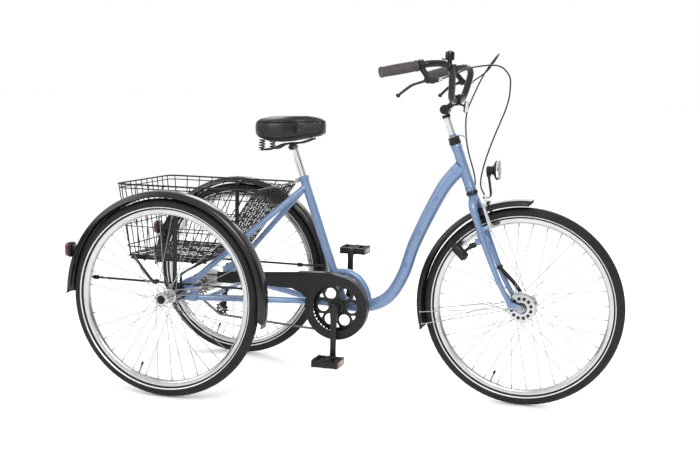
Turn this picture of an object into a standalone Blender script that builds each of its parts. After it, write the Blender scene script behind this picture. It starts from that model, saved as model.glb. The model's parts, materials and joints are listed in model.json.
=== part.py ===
"""Adult tricycle with a low step-through frame, a rear wire basket and three 26 inch wheels.

Metres, +Z up, +X forward, +Y to the rider's left. Z = 0 is the ground, and X = 0 is the middle
of the whole length. Places along X are given from the rear axle and shifted by place().
"""
import math

import bmesh
import bpy
from mathutils import Matrix, Vector

# Driving dimensions -----------------------------------------------------------------------
WHEEL_RADIUS = 0.330
WHEEL_BASE = 1.130
REAR_TRACK = 0.660
REAR_OVERHANG = 0.361
CENTRE_X = (WHEEL_BASE + WHEEL_RADIUS - REAR_OVERHANG) / 2
HALF_TRACK = REAR_TRACK / 2
GAP = 0.0003

RIM_OUTER = 0.2955
RIM_INNER = 0.2765
RIM_HALF_WIDTH = 0.0125
TYRE_HALF_WIDTH = 0.0235
WHEEL_STEPS = 40
SPOKES = 36
SPOKE_RADIUS = 0.0009

FENDER_RADIUS = 0.3555
FENDER_THICKNESS = 0.0015
FENDER_HALF_WIDTH = 0.0300

HEAD_ANGLE = math.radians(69)
HEAD_FOOT = (0.945, 0.705)
HEAD_LENGTH = 0.160
HEAD_TUBE_RADIUS = 0.0170
STEERER_RADIUS = 0.0127
QUILL_RADIUS = 0.0111
BLADE_SPREAD = 0.053
DROPOUT_SPREAD = 0.057

SEAT_ANGLE = math.radians(70)
SEAT_POINT = (0.404, 0.603)
SEAT_TUBE_RADIUS = 0.0148
SEAT_POST_RADIUS = 0.0127
SEAT_TUBE_TOP = 0.132
SEAT_TUBE_FOOT = -0.330

MAIN_TUBE_RADIUS = 0.0215
ARCH_TUBE_RADIUS = 0.0127
STAY_RADIUS = 0.0100
DROPOUT_Y = 0.215

CRANK_X = 0.509
CRANK_Z = 0.290
CRANK_LENGTH = 0.170
CHAIN_Y = -0.052
CHAINRING_TEETH = 44
SPROCKET_TEETH = 18
PULLEY_TEETH = 11
CHAIN_PITCH = 0.0127
CHAIN_HALF_HEIGHT = 0.004
CHAIN_GAP = 0.0005
ARC_TOLERANCE = 0.0001
PULLEY_PLACE = (0.085, 0.250)
GUARD_RADIUS = 0.110
AXLE_RADIUS = 0.0085

BAR_RADIUS = 0.0111
GRIP_LENGTH = 0.118
GRIP_RADIUS = 0.0165

ACROSS = Vector((0, 1, 0))
UP = Vector((0, 0, 1))


# Scene, materials and placing -------------------------------------------------------------
def clear_scene():
    """Remove everything that the start-up file holds."""
    for old in list(bpy.data.objects):
        bpy.data.objects.remove(old, do_unlink=True)


clear_scene()
TRICYCLE = bpy.data.collections.new("adult_tricycle")
CUTTERS = bpy.data.collections.new("adult_tricycle_cutters")
for group in (TRICYCLE, CUTTERS):
    bpy.context.scene.collection.children.link(group)


def make_material(name, colour, roughness, metallic=0.0):
    """Return a Principled material of one finish."""
    material = bpy.data.materials.new(name)
    material.use_nodes = True
    shader = material.node_tree.nodes["Principled BSDF"]
    shader.inputs["Base Color"].default_value = (*colour, 1)
    shader.inputs["Roughness"].default_value = roughness
    shader.inputs["Metallic"].default_value = metallic
    return material


BLUE_PAINT = make_material("blue_paint", (0.21, 0.34, 0.60), 0.35, 0.4)
BLACK_PLASTIC = make_material("black_plastic", (0.012, 0.012, 0.014), 0.35)
BLACK_METAL = make_material("black_metal", (0.015, 0.015, 0.016), 0.40, 0.2)
CHROME = make_material("chrome", (0.80, 0.80, 0.82), 0.12, 1.0)
ALLOY = make_material("alloy", (0.66, 0.67, 0.69), 0.30, 1.0)
STEEL = make_material("steel", (0.45, 0.45, 0.46), 0.35, 1.0)
TYRE_RUBBER = make_material("tyre_rubber", (0.018, 0.018, 0.018), 0.75)
GRIP_RUBBER = make_material("grip_rubber", (0.035, 0.034, 0.034), 0.70)
SADDLE_VINYL = make_material("saddle_vinyl", (0.012, 0.012, 0.013), 0.35)
RED_LENS = make_material("red_lens", (0.45, 0.02, 0.02), 0.15)


def place(x, y, z):
    """Turn a place given from the rear axle into the object's own frame."""
    return Vector((x - CENTRE_X, y, z))


HEAD_UP = Vector((-math.cos(HEAD_ANGLE), 0, math.sin(HEAD_ANGLE)))
HEAD_FORWARD = Vector((math.sin(HEAD_ANGLE), 0, math.cos(HEAD_ANGLE)))
HEAD_ORIGIN = place(HEAD_FOOT[0], 0, HEAD_FOOT[1])
SEAT_UP = Vector((-math.cos(SEAT_ANGLE), 0, math.sin(SEAT_ANGLE)))
SEAT_ORIGIN = place(SEAT_POINT[0], 0, SEAT_POINT[1])
REAR_AXLE = place(0, 0, WHEEL_RADIUS)
FRONT_AXLE = place(WHEEL_BASE, 0, WHEEL_RADIUS)
CRANK_AXIS = place(CRANK_X, 0, CRANK_Z)


def on_head(along, forward=0.0, y=0.0):
    """Place on the steering axis, measured up it from the foot of the head tube."""
    return HEAD_ORIGIN + HEAD_UP * along + HEAD_FORWARD * forward + ACROSS * y


def on_seat(along):
    """Place on the seat tube's axis."""
    return SEAT_ORIGIN + SEAT_UP * along


def pivot(name, where, parent=None):
    """Add an empty on a joint's axis; the pieces that it carries are its children."""
    empty = bpy.data.objects.new(name, None)
    empty.empty_display_size = 0.03
    empty.location = where
    TRICYCLE.objects.link(empty)
    bpy.context.view_layer.update()
    if parent:
        hang(empty, parent)
    return empty


def hang(obj, parent):
    """Parent an object without moving it."""
    obj.parent = parent
    obj.matrix_parent_inverse = parent.matrix_world.inverted()
    bpy.context.view_layer.update()


def shade(mesh):
    """Shade round faces smooth and keep real edges sharp."""
    mesh.shade_smooth()
    mesh.set_sharp_from_angle(angle=math.radians(35))


def piece(obj, material, carrier=None):
    """Make an object one of the tricycle's pieces."""
    for old in list(obj.users_collection):
        old.objects.unlink(obj)
    TRICYCLE.objects.link(obj)
    obj.hide_render = False
    obj.display_type = "TEXTURED"
    obj.data.materials.clear()
    obj.data.materials.append(material)
    if isinstance(obj.data, bpy.types.Mesh):
        shade(obj.data)
    if carrier:
        hang(obj, carrier)
    return obj


def helper(obj):
    """Put an object among the cutters and guides."""
    for old in list(obj.users_collection):
        old.objects.unlink(obj)
    CUTTERS.objects.link(obj)
    obj.hide_render = True
    obj.display_type = "WIRE"
    return obj


# Shapes -----------------------------------------------------------------------------------
def new_mesh(name, bm):
    """Make a mesh object from a bmesh, among the helpers until piece() takes it."""
    bmesh.ops.recalc_face_normals(bm, faces=bm.faces)
    mesh = bpy.data.meshes.new(name)
    bm.to_mesh(mesh)
    bm.free()
    return helper(bpy.data.objects.new(name, mesh))


def facing(where, axis, start=None):
    """Matrix that takes local Z to an axis and, where given, local X to a start direction."""
    z = axis.normalized()
    if start is None:
        start = Vector((1, 0, 0)) if abs(z.x) < 0.9 else Vector((0, 1, 0))
    x = (start - z * start.dot(z)).normalized()
    y = z.cross(x)
    turn = Matrix((x, y, z)).transposed().to_4x4()
    return Matrix.Translation(where) @ turn


def rod(name, start, end, radius, sides=16):
    """Solid cylinder from one place to another."""
    bm = bmesh.new()
    length = (end - start).length
    matrix = facing((start + end) / 2, end - start)
    bmesh.ops.create_cone(bm, cap_ends=True, segments=sides, radius1=radius, radius2=radius,
                          depth=length, matrix=matrix)
    return new_mesh(name, bm)


def block(name, centre, size, axis=UP, start=None, bevel=0.0):
    """Box with its own axes, and rounded edges where a bevel is given."""
    bm = bmesh.new()
    matrix = facing(centre, axis, start) @ Matrix.Diagonal((*size, 1))
    bmesh.ops.create_cube(bm, size=1, matrix=matrix)
    if bevel:
        bmesh.ops.bevel(bm, geom=bm.edges[:], offset=bevel, segments=1, affect="EDGES", profile=0.5)
    return new_mesh(name, bm)


def turned(name, profile, where, axis, steps=24, closed=False, start=None, angle=math.tau):
    """Turn a profile of (radius, height) about an axis; its outer side runs from top to bottom."""
    bm = bmesh.new()
    verts = [bm.verts.new((radius, 0, height)) for radius, height in profile]
    for first, second in zip(verts, verts[1:]):
        bm.edges.new((first, second))
    if closed:
        bm.edges.new((verts[-1], verts[0]))
    mesh = bpy.data.meshes.new(name)
    bm.to_mesh(mesh)
    bm.free()
    obj = helper(bpy.data.objects.new(name, mesh))
    obj.matrix_world = facing(where, axis, start)
    screw = obj.modifiers.new("turn", "SCREW")
    screw.angle = angle
    screw.steps = steps
    screw.render_steps = steps
    screw.use_merge_vertices = True
    screw.merge_threshold = 0.00001
    screw.use_smooth_shade = True
    return obj


def ring(name, where, axis, outer, inner, height, steps=24):
    """Plain ring centred on a place."""
    half = height / 2
    profile = [(outer, half), (outer, -half), (inner, -half), (inner, half)]
    return turned(name, profile, where, axis, steps, closed=True)


def smooth_route(points, per_span=4):
    """Points along a Catmull-Rom curve through the given points."""
    points = [Vector(point) for point in points]
    padded = [points[0] * 2 - points[1], *points, points[-1] * 2 - points[-2]]
    route = []
    for before, first, second, after in zip(padded, padded[1:], padded[2:], padded[3:]):
        for step in range(per_span):
            t = step / per_span
            route.append(0.5 * (2 * first + (second - before) * t
                                + (2 * before - 5 * first + 4 * second - after) * t ** 2
                                + (3 * first - before - 3 * second + after) * t ** 3))
    return [*route, points[-1]]


def tube(name, points, radius, sides=12, radii=None):
    """Round tube along points, with filled caps."""
    curve = bpy.data.curves.new(name, "CURVE")
    curve.dimensions = "3D"
    curve.bevel_depth = radius
    curve.bevel_resolution = sides // 2 - 2
    curve.use_fill_caps = True
    spline = curve.splines.new("POLY")
    spline.points.add(len(points) - 1)
    for number, point in enumerate(points):
        spline.points[number].co = (*point, 1)
        if radii:
            spline.points[number].radius = radii(number / (len(points) - 1))
    return helper(bpy.data.objects.new(name, curve))


def outline(name, loops, thickness, where, axis=ACROSS):
    """Flat plate from closed outlines of (x, z) places; further loops are its windows."""
    curve = bpy.data.curves.new(name, "CURVE")
    curve.dimensions = "2D"
    curve.fill_mode = "BOTH"
    curve.extrude = thickness / 2
    for loop in loops:
        spline = curve.splines.new("POLY")
        spline.points.add(len(loop) - 1)
        for number, (x, z) in enumerate(loop):
            spline.points[number].co = (x, z, 0, 1)
        spline.use_cyclic_u = True
    obj = helper(bpy.data.objects.new(name, curve))
    obj.matrix_world = facing(where, -axis, Vector((1, 0, 0)))
    return obj


def arc(centre_x, centre_z, radius, start, end, steps):
    """Places round part of a circle, in degrees."""
    angles = [math.radians(start + (end - start) * n / steps) for n in range(steps + 1)]
    return [(centre_x + radius * math.cos(a), centre_z + radius * math.sin(a)) for a in angles]


def circle(centre_x, centre_z, radius, steps):
    """Places round a whole circle."""
    return arc(centre_x, centre_z, radius, 0, 360 * (steps - 1) / steps, steps - 1)


def strap(name, first, first_radius, second, second_radius, thickness, steps=7):
    """Flat link round two places in one plane across Y."""
    line = math.degrees(math.atan2(second.z - first.z, second.x - first.x))
    shape = arc(0, 0, first_radius, line + 90, line + 270, steps)
    shape += arc(second.x - first.x, second.z - first.z, second_radius, line - 90, line + 90, steps)
    return outline(name, [shape], thickness, first)


def solid(obj):
    """Evaluate an object into a plain closed mesh in world space."""
    bpy.context.view_layer.update()
    graph = bpy.context.evaluated_depsgraph_get()
    mesh = bpy.data.meshes.new_from_object(obj.evaluated_get(graph))
    name = obj.name
    mesh.transform(obj.matrix_world)
    bpy.data.objects.remove(obj, do_unlink=True)
    bm = bmesh.new()
    bm.from_mesh(mesh)
    bmesh.ops.remove_doubles(bm, verts=bm.verts, dist=0.000005)
    bmesh.ops.recalc_face_normals(bm, faces=bm.faces)
    bm.to_mesh(mesh)
    bm.free()
    mesh.name = name
    return helper(bpy.data.objects.new(name, mesh))


def combine(target, others, operation="UNION"):
    """Union or cut an object by others, which stay among the helpers."""
    for other in others:
        modifier = target.modifiers.new(operation.lower(), "BOOLEAN")
        modifier.operation = operation
        modifier.solver = "EXACT"
        modifier.object = other
    return target


# Frame ------------------------------------------------------------------------------------
def flat(points):
    """Places in the middle plane from (x, z) pairs."""
    return [place(x, 0, z) for x, z in points]


def make_frame():
    """Welded main frame: tubes, bottom bracket shell, stays, cross tube and axle plates."""
    head = rod("main_frame", on_head(0), on_head(HEAD_LENGTH), HEAD_TUBE_RADIUS, sides=20)
    main_points = smooth_route(flat([(0.505, CRANK_Z), (0.600, 0.291), (0.674, 0.328), (0.724, 0.410),
                                     (0.763, 0.527), (0.846, 0.702), (0.908, 0.783)]), 3)
    arch_points = smooth_route(flat([(0.474, 0.4005), (0.530, 0.401), (0.570, 0.380),
                                     (0.597, 0.338), (0.606, 0.292)]), 2)
    tubes = [
        tube("main_tube", main_points, MAIN_TUBE_RADIUS, 12, lambda t: 1 + 0.12 * max(0, t - 0.6) / 0.4),
        tube("arch_tube", arch_points, ARCH_TUBE_RADIUS, 10),
        rod("seat_tube", on_seat(SEAT_TUBE_FOOT), on_seat(SEAT_TUBE_TOP), SEAT_TUBE_RADIUS, sides=20),
        rod("cross_tube", place(0.090, -0.185, 0.3140), place(0.090, 0.185, 0.3140), 0.0080, sides=10),
    ]
    for side in (-1, 1):
        seat_stay = [on_seat(0.096) + ACROSS * side * 0.004, place(0.035, side * 0.209, 0.364)]
        chain_stay = smooth_route([place(0.500, side * 0.016, 0.292), place(0.400, side * 0.026, 0.296),
                                   place(0.310, side * 0.070, 0.301), place(0.035, side * 0.211, 0.315)], 2)
        tubes.append(tube(f"seat_stay_{side}", seat_stay, STAY_RADIUS, 10))
        tubes.append(tube(f"chain_stay_{side}", chain_stay, STAY_RADIUS + 0.001, 10))
        plate = outline(f"axle_plate_{side}", [[(-0.024, 0.306), (0.058, 0.302), (0.062, 0.372),
                                                (0.040, 0.388), (-0.024, 0.352)]],
                        0.006, place(0, side * DROPOUT_Y, 0))
        tubes.append(plate)
    shell = rod("crank_shell", CRANK_AXIS - ACROSS * 0.034, CRANK_AXIS + ACROSS * 0.034, 0.0225, sides=20)
    combine(head, [solid(part) for part in [*tubes, shell]])
    bores = [
        rod("steerer_bore", on_head(-0.02), on_head(HEAD_LENGTH + 0.02), STEERER_RADIUS + 0.0012, sides=20),
        rod("post_bore", on_seat(-0.150), on_seat(SEAT_TUBE_TOP + 0.02), SEAT_POST_RADIUS + GAP, sides=20),
        rod("crank_bore", CRANK_AXIS - ACROSS * 0.05, CRANK_AXIS + ACROSS * 0.05, 0.0175, sides=20),
        rod("axle_bore", REAR_AXLE - ACROSS * 0.25, REAR_AXLE + ACROSS * 0.25, AXLE_RADIUS + 0.002, sides=16),
    ]
    combine(head, bores, "DIFFERENCE")
    return piece(head, BLUE_PAINT)


def make_headset():
    """Upper and lower headset cups, seated on the ends of the head tube."""
    for name, low, high in (("headset_cup_lower", -0.013, -GAP), ("headset_cup_upper", HEAD_LENGTH + GAP, 0.186)):
        cup = ring(name, on_head((low + high) / 2), HEAD_UP, 0.0200, STEERER_RADIUS + 0.0006, high - low, 20)
        piece(cup, BLACK_METAL)


def make_seat_clamp():
    """Pinch clamp round the top of the seat tube, with its bolt."""
    clamp = solid(ring("seat_clamp", on_seat(0.123), SEAT_UP, 0.0182, SEAT_TUBE_RADIUS + GAP, 0.014, 20))
    back = Vector((-math.sin(SEAT_ANGLE), 0, -math.cos(SEAT_ANGLE)))
    bolt_place = on_seat(0.123) + back * 0.0235
    bolt = rod("seat_bolt", bolt_place - ACROSS * 0.013, bolt_place + ACROSS * 0.013, 0.0040, sides=10)
    ear = block("seat_ear", on_seat(0.123) + back * 0.0220, (0.011, 0.014, 0.011), SEAT_UP, back)
    piece(combine(clamp, [ear, bolt]), BLACK_METAL)


def make_bottom_bracket():
    """Bearing cartridge inside the crank shell, with a lip at each end."""
    lip = 0.0365
    profile = [(0.0205, lip), (0.0205, 0.0343), (0.0172, 0.0343), (0.0172, -0.0343), (0.0205, -0.0343),
               (0.0205, -lip), (0.0090, -lip), (0.0090, lip)]
    piece(turned("bottom_bracket", profile, CRANK_AXIS, ACROSS, 20, closed=True), STEEL)


def make_axle_bearings():
    """Bearing blocks bolted outside the axle plates; the axle shafts turn in them."""
    for side, word in ((-1, "right"), (1, "left")):
        middle = REAR_AXLE + ACROSS * side * 0.2495
        body = block(f"axle_bearing_{word}", middle, (0.046, 0.0620, 0.046), UP, bevel=0.004)
        cutter = rod(f"bearing_bore_{word}", middle - ACROSS * 0.05, middle + ACROSS * 0.05, 0.0090, sides=20)
        piece(combine(body, [cutter], "DIFFERENCE"), BLACK_METAL)


# Rear fenders, their carriers and lights ----------------------------------------------------
FENDER_PROFILE = [(0.3360, FENDER_HALF_WIDTH), (0.3500, 0.0255), (FENDER_RADIUS, 0.0),
                  (0.3500, -0.0255), (0.3360, -FENDER_HALF_WIDTH)]


def make_fender(name, axle, first, last, steps):
    """Mudguard over part of a wheel, between two angles measured from straight ahead."""
    start = Vector((math.cos(math.radians(first)), 0, math.sin(math.radians(first))))
    fender = turned(name, FENDER_PROFILE, axle, -ACROSS, steps, start=start, angle=math.radians(last - first))
    shell = fender.modifiers.new("thickness", "SOLIDIFY")
    shell.thickness = FENDER_THICKNESS
    shell.offset = -1
    return fender


def make_rear_fenders():
    """Two fenders, each held by a post and a level bar that stand on the axle bearing."""
    for side, word in ((-1, "right"), (1, "left")):
        axle = REAR_AXLE + ACROSS * side * HALF_TRACK
        fender = make_fender(f"rear_fender_{word}", axle, -10, 181, 26)
        piece(fender, BLACK_PLASTIC)
        inner = side * 0.2725
        reach = side * (HALF_TRACK - FENDER_HALF_WIDTH - GAP - 0.0047)
        bar = tube(f"fender_carrier_{word}",
                   [place(-0.3440, reach, 0.3700), place(-0.3000, inner, 0.3700), place(0.3000, inner, 0.3700),
                    place(0.3440, reach, 0.3700)], 0.0040, 8)
        post = tube(f"fender_post_{word}",
                    [place(0.006, inner, 0.3615), place(0.006, inner, 0.6500), place(0.006, side * 0.2790, 0.6670),
                     place(0.006, side * 0.2988, 0.6720)], 0.0050, 8)
        foot = block(f"fender_foot_{word}", place(0.006, side * 0.2660, 0.3645), (0.030, 0.022, 0.0110))
        ends = [block(f"fender_bar_end_{word}_{x}", place(x, inner, 0.3700), (0.018, 0.007, 0.014))
                for x in (-0.286, 0.262)]
        carrier = combine(solid(bar), [solid(post), foot, *ends])
        piece(carrier, BLACK_METAL)
        make_rear_light(word, side)


def make_rear_light(word, side):
    """Rear lamp with a reflector, on a foot that stands on the back of a fender."""
    lamp_x = -REAR_OVERHANG + 0.0115
    centre = place(lamp_x, side * HALF_TRACK, 0.470)
    lamp = block(f"rear_light_{word}", centre, (0.0230, 0.0460, 0.0520), UP, bevel=0.006)
    angle = math.radians(157)
    out = Vector((math.cos(angle), 0, math.sin(angle)))
    axle = REAR_AXLE + ACROSS * side * HALF_TRACK
    foot = block(f"lamp_foot_{word}", axle + out * 0.3661, (0.0260, 0.0220, 0.0198), out, ACROSS)
    piece(combine(lamp, [foot]), RED_LENS)


# Basket -----------------------------------------------------------------------------------
BASKET_TOP = [(-0.250, 0.216), (0.270, 0.216)]
BASKET_FLOOR = [(-0.212, 0.194), (0.088, 0.194)]
BASKET_TOP_Z = 0.688
BASKET_FLOOR_Z = 0.437


def make_basket():
    """Open-topped basket that narrows towards its floor."""
    bm = bmesh.new()
    bmesh.ops.create_cube(bm, size=1)
    for vert in bm.verts:
        corners = BASKET_TOP if vert.co.z > 0 else BASKET_FLOOR
        x, y = corners[0 if vert.co.x < 0 else 1]
        z = BASKET_TOP_Z if vert.co.z > 0 else BASKET_FLOOR_Z
        vert.co = place(x, math.copysign(y, vert.co.y), z)
    lid = [face for face in bm.faces if face.normal.z > 0.9 and face.calc_center_median().z > 0.6]
    bmesh.ops.delete(bm, geom=lid, context="FACES")
    mesh = bpy.data.meshes.new("basket")
    bm.to_mesh(mesh)
    bm.free()
    basket = helper(bpy.data.objects.new("basket", mesh))
    wall = basket.modifiers.new("wall", "SOLIDIFY")
    wall.thickness = 0.0025
    wall.offset = -1
    wall.use_even_offset = True
    piece(basket, BLACK_METAL)


def make_basket_support():
    """Bent bars that carry the basket's floor from the axle bearings and the level bars."""
    level = BASKET_FLOOR_Z - 0.0056
    inner = 0.2385
    bars = []
    for side in (-1, 1):
        bars.append(tube(f"basket_bar_front_{side}",
                         [place(0.013, side * inner, 0.3590), place(0.013, side * inner, 0.3950),
                          place(0.065, side * 0.185, level)], 0.0045, 8))
        bars.append(tube(f"basket_bar_rear_{side}",
                         [place(-0.055, side * 0.2634, 0.3700), place(-0.080, side * 0.2634, 0.3700),
                          place(-0.185, side * 0.185, level)], 0.0045, 8))
        bars.append(tube(f"basket_rail_{side}",
                         [place(-0.200, side * 0.183, level), place(0.080, side * 0.183, level)], 0.0045, 8))
        bars.append(block(f"basket_foot_{side}", place(0, side * inner, 0.3586), (0.044, 0.016, 0.0060)))
    for x in (-0.185, 0.065):
        bars.append(tube(f"basket_cross_{x}", [place(x, -0.190, level), place(x, 0.190, level)], 0.0045, 8))
    solids = [solid(bar) for bar in bars]
    support = solids[0]
    support.name = "basket_support"
    piece(combine(support, solids[1:]), BLACK_METAL)


# Drive ------------------------------------------------------------------------------------
def pitch_radius(teeth):
    """Radius of a chain wheel's pitch circle."""
    return CHAIN_PITCH / (2 * math.sin(math.pi / teeth))


def chain_loop(offset):
    """Places along the chain round sprocket, chainring and pulley, offset from its pitch line."""
    wheels = [(0.0, WHEEL_RADIUS, pitch_radius(SPROCKET_TEETH)), (CRANK_X, CRANK_Z, pitch_radius(CHAINRING_TEETH)),
              (*PULLEY_PLACE, pitch_radius(PULLEY_TEETH))]
    normals = []
    for (x1, z1, r1), (x2, z2, r2) in zip(wheels, wheels[1:] + wheels[:1]):
        line = math.atan2(z2 - z1, x2 - x1)
        distance = math.hypot(x2 - x1, z2 - z1)
        normals.append(line + math.acos((r1 - r2) / distance))
    loop = []
    for number, (x, z, radius) in enumerate(wheels):
        begin, end = normals[number - 1], normals[number]
        while end > begin:
            end -= math.tau
        longest_step = 2 * math.acos(1 - ARC_TOLERANCE / radius)
        steps = math.ceil((begin - end) / longest_step)
        loop += arc(x, z, radius + offset, math.degrees(begin), math.degrees(end), steps)
    return loop


def chain_wheel(name, centre, teeth, bore, thickness, windows=()):
    """Chain wheel that fits inside the chain."""
    radius = pitch_radius(teeth) - CHAIN_HALF_HEIGHT - CHAIN_GAP
    loops = [circle(0, 0, radius, max(20, teeth * 3 // 4)), circle(0, 0, bore, 12), *windows]
    return outline(name, loops, thickness, centre)


def make_chain_guard():
    """Guard over the chain: an outer plate with a round window and a rim, open on the inside."""
    rear = [(0.074, 0.346), (0.078, 0.384), (0.371, 0.4045), (0.486, 0.4080)]
    front = arc(CRANK_X, CRANK_Z, GUARD_RADIUS, 74, -194, 30)
    under = [(0.384, 0.333), (0.352, 0.3455), (0.261, 0.3480)]
    window = circle(CRANK_X, CRANK_Z, 0.0800, 30)
    depth = 0.034
    guard = solid(outline("chain_guard", [rear + front + under, window], depth,
                          place(0, CHAIN_Y - 0.026 + depth / 2, 0)))
    bm = bmesh.new()
    bm.from_mesh(guard.data)
    inward = [face for face in bm.faces if face.normal.y > 0.9]
    centre = CRANK_AXIS + ACROSS * (CHAIN_Y - 0.009)

    def opening(face):
        """Tell whether a rim face is at the window, or where the chain goes through."""
        if abs(face.normal.y) > 0.1:
            return False
        arm = face.calc_center_median() - centre
        angle = math.degrees(math.atan2(arm.z, arm.x)) % 360
        from_crank = math.hypot(arm.x, arm.z)
        at_window = from_crank < 0.09
        at_lower_run = from_crank < 0.12 and 176 < angle < 262
        at_rear = face.calc_center_median().x < place(0.080, 0, 0).x
        return at_window or at_lower_run or at_rear

    gone = inward + [face for face in bm.faces if opening(face)]
    bmesh.ops.delete(bm, geom=gone, context="FACES")
    bm.to_mesh(guard.data)
    bm.free()
    shell = guard.modifiers.new("thickness", "SOLIDIFY")
    shell.thickness = 0.0022
    shell.offset = -1
    shell.use_even_offset = True
    piece(guard, BLACK_PLASTIC)


def make_chain():
    """Chain as one closed band, a running gap outside its wheels."""
    loops = [chain_loop(CHAIN_HALF_HEIGHT), chain_loop(-CHAIN_HALF_HEIGHT)]
    piece(outline("chain", loops, 0.0070, place(0, CHAIN_Y, 0)), STEEL)


def make_tensioner():
    """Pulley under the chain line, on a bracket that is clamped to the cross tube."""
    x, z = PULLEY_PLACE
    centre = place(x, CHAIN_Y, z)
    wheel_pivot = pivot("pulley_pivot", centre)
    piece(chain_wheel("tensioner_pulley", centre, PULLEY_TEETH, 0.0046, 0.0030), BLACK_PLASTIC, wheel_pivot)
    side_plate = outline("tensioner_bracket", [[(x - 0.009, z - 0.009), (x + 0.009, z - 0.009),
                                                (0.1005, 0.300), (0.1005, 0.327), (0.0795, 0.327), (0.0795, 0.300)]],
                         0.0030, place(0, CHAIN_Y + 0.0105, 0))
    plate = solid(side_plate)
    pin = rod("pulley_pin", centre - ACROSS * 0.006, centre + ACROSS * 0.0105, 0.0040, sides=12)
    clamp = rod("tensioner_clamp", place(0.090, CHAIN_Y + 0.0045, 0.3140),
                place(0.090, CHAIN_Y + 0.0205, 0.3140), 0.0125, sides=20)
    cutter = rod("tensioner_bore", place(0.090, -0.1, 0.3140), place(0.090, 0.05, 0.3140), 0.0083, sides=24)
    combine(plate, [pin, clamp])
    piece(combine(plate, [cutter], "DIFFERENCE"), BLACK_METAL)


def make_rear_drive():
    """Rear sprocket and the differential that it turns."""
    drive_pivot = pivot("rear_drive_pivot", REAR_AXLE)
    sprocket_centre = REAR_AXLE + ACROSS * CHAIN_Y
    piece(chain_wheel("rear_sprocket", sprocket_centre, SPROCKET_TEETH, 0.0172, 0.0030), STEEL, drive_pivot)
    profile = [(0.0190, 0.095), (0.0340, 0.078), (0.0340, 0.000), (0.0190, -0.018), (0.0190, -0.0490),
               (0.0160, -0.0490), (0.0160, -0.0600), (0.0090, -0.0600), (0.0090, 0.095)]
    piece(turned("differential_housing", profile, REAR_AXLE, ACROSS, 18, closed=True), ALLOY, drive_pivot)


def make_crankset():
    """Spindle, chainring, two crank arms and two pedals."""
    crank_pivot = pivot("crank_pivot", CRANK_AXIS)
    piece(rod("crank_spindle", CRANK_AXIS - ACROSS * 0.088, CRANK_AXIS + ACROSS * 0.088, AXLE_RADIUS, sides=16),
          STEEL, crank_pivot)
    windows = []
    for number in range(6):
        angle = math.radians(60 * number)
        windows.append(circle(0.0545 * math.cos(angle), 0.0545 * math.sin(angle), 0.0190, 12))
    ring_centre = CRANK_AXIS + ACROSS * CHAIN_Y
    piece(chain_wheel("chainring", ring_centre, CHAINRING_TEETH, 0.0088, 0.0032, windows), BLACK_METAL, crank_pivot)
    for side, word in ((-1, "right"), (1, "left")):
        tip = CRANK_AXIS + UP * side * CRANK_LENGTH
        middle = side * 0.0945
        arm = solid(strap(f"crank_arm_{word}", CRANK_AXIS + ACROSS * middle, 0.0150, tip + ACROSS * middle,
                          0.0115, 0.0120))
        boss = rod(f"crank_boss_{word}", CRANK_AXIS + ACROSS * side * 0.0640, CRANK_AXIS + ACROSS * middle,
                   0.0132, sides=18)
        cutter = rod(f"crank_hole_{word}", CRANK_AXIS - ACROSS * 0.0883, CRANK_AXIS + ACROSS * 0.0883,
                     AXLE_RADIUS + GAP, sides=16)
        pin = rod(f"pedal_pin_{word}", tip + ACROSS * middle, tip + ACROSS * side * 0.1930, 0.0050, sides=12)
        combine(arm, [boss])
        combine(arm, [cutter], "DIFFERENCE")
        piece(combine(arm, [pin]), BLACK_METAL, crank_pivot)
        make_pedal(word, tip + ACROSS * side * 0.1520, crank_pivot)


def make_pedal(word, centre, carrier):
    """Block pedal with two windows, turning on its pin."""
    pedal_pivot = pivot(f"pedal_pivot_{word}", centre, carrier)
    body = block(f"pedal_{word}", centre, (0.0900, 0.0880, 0.0260), UP, bevel=0.004)
    cutters = [rod(f"pedal_bore_{word}", centre - ACROSS * 0.06, centre + ACROSS * 0.06, 0.0055, sides=12)]
    for x in (-0.0255, 0.0255):
        shift = Vector((x, 0, 0))
        cutters.append(block(f"pedal_window_{word}_{x}", centre + shift, (0.0230, 0.0620, 0.0600)))
    piece(combine(body, cutters, "DIFFERENCE"), BLACK_PLASTIC, pedal_pivot)


# Wheels -----------------------------------------------------------------------------------
TYRE_PROFILE = [(0.2958, 0.0125), (0.3080, TYRE_HALF_WIDTH), (0.3220, 0.0175),
                (WHEEL_RADIUS, 0.0), (0.3220, -0.0175), (0.3080, -TYRE_HALF_WIDTH), (0.2958, -0.0125)]
RIM_PROFILE = [(RIM_OUTER, RIM_HALF_WIDTH), (RIM_OUTER, -RIM_HALF_WIDTH), (RIM_INNER, -0.0090),
               (RIM_INNER, 0.0090)]


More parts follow.
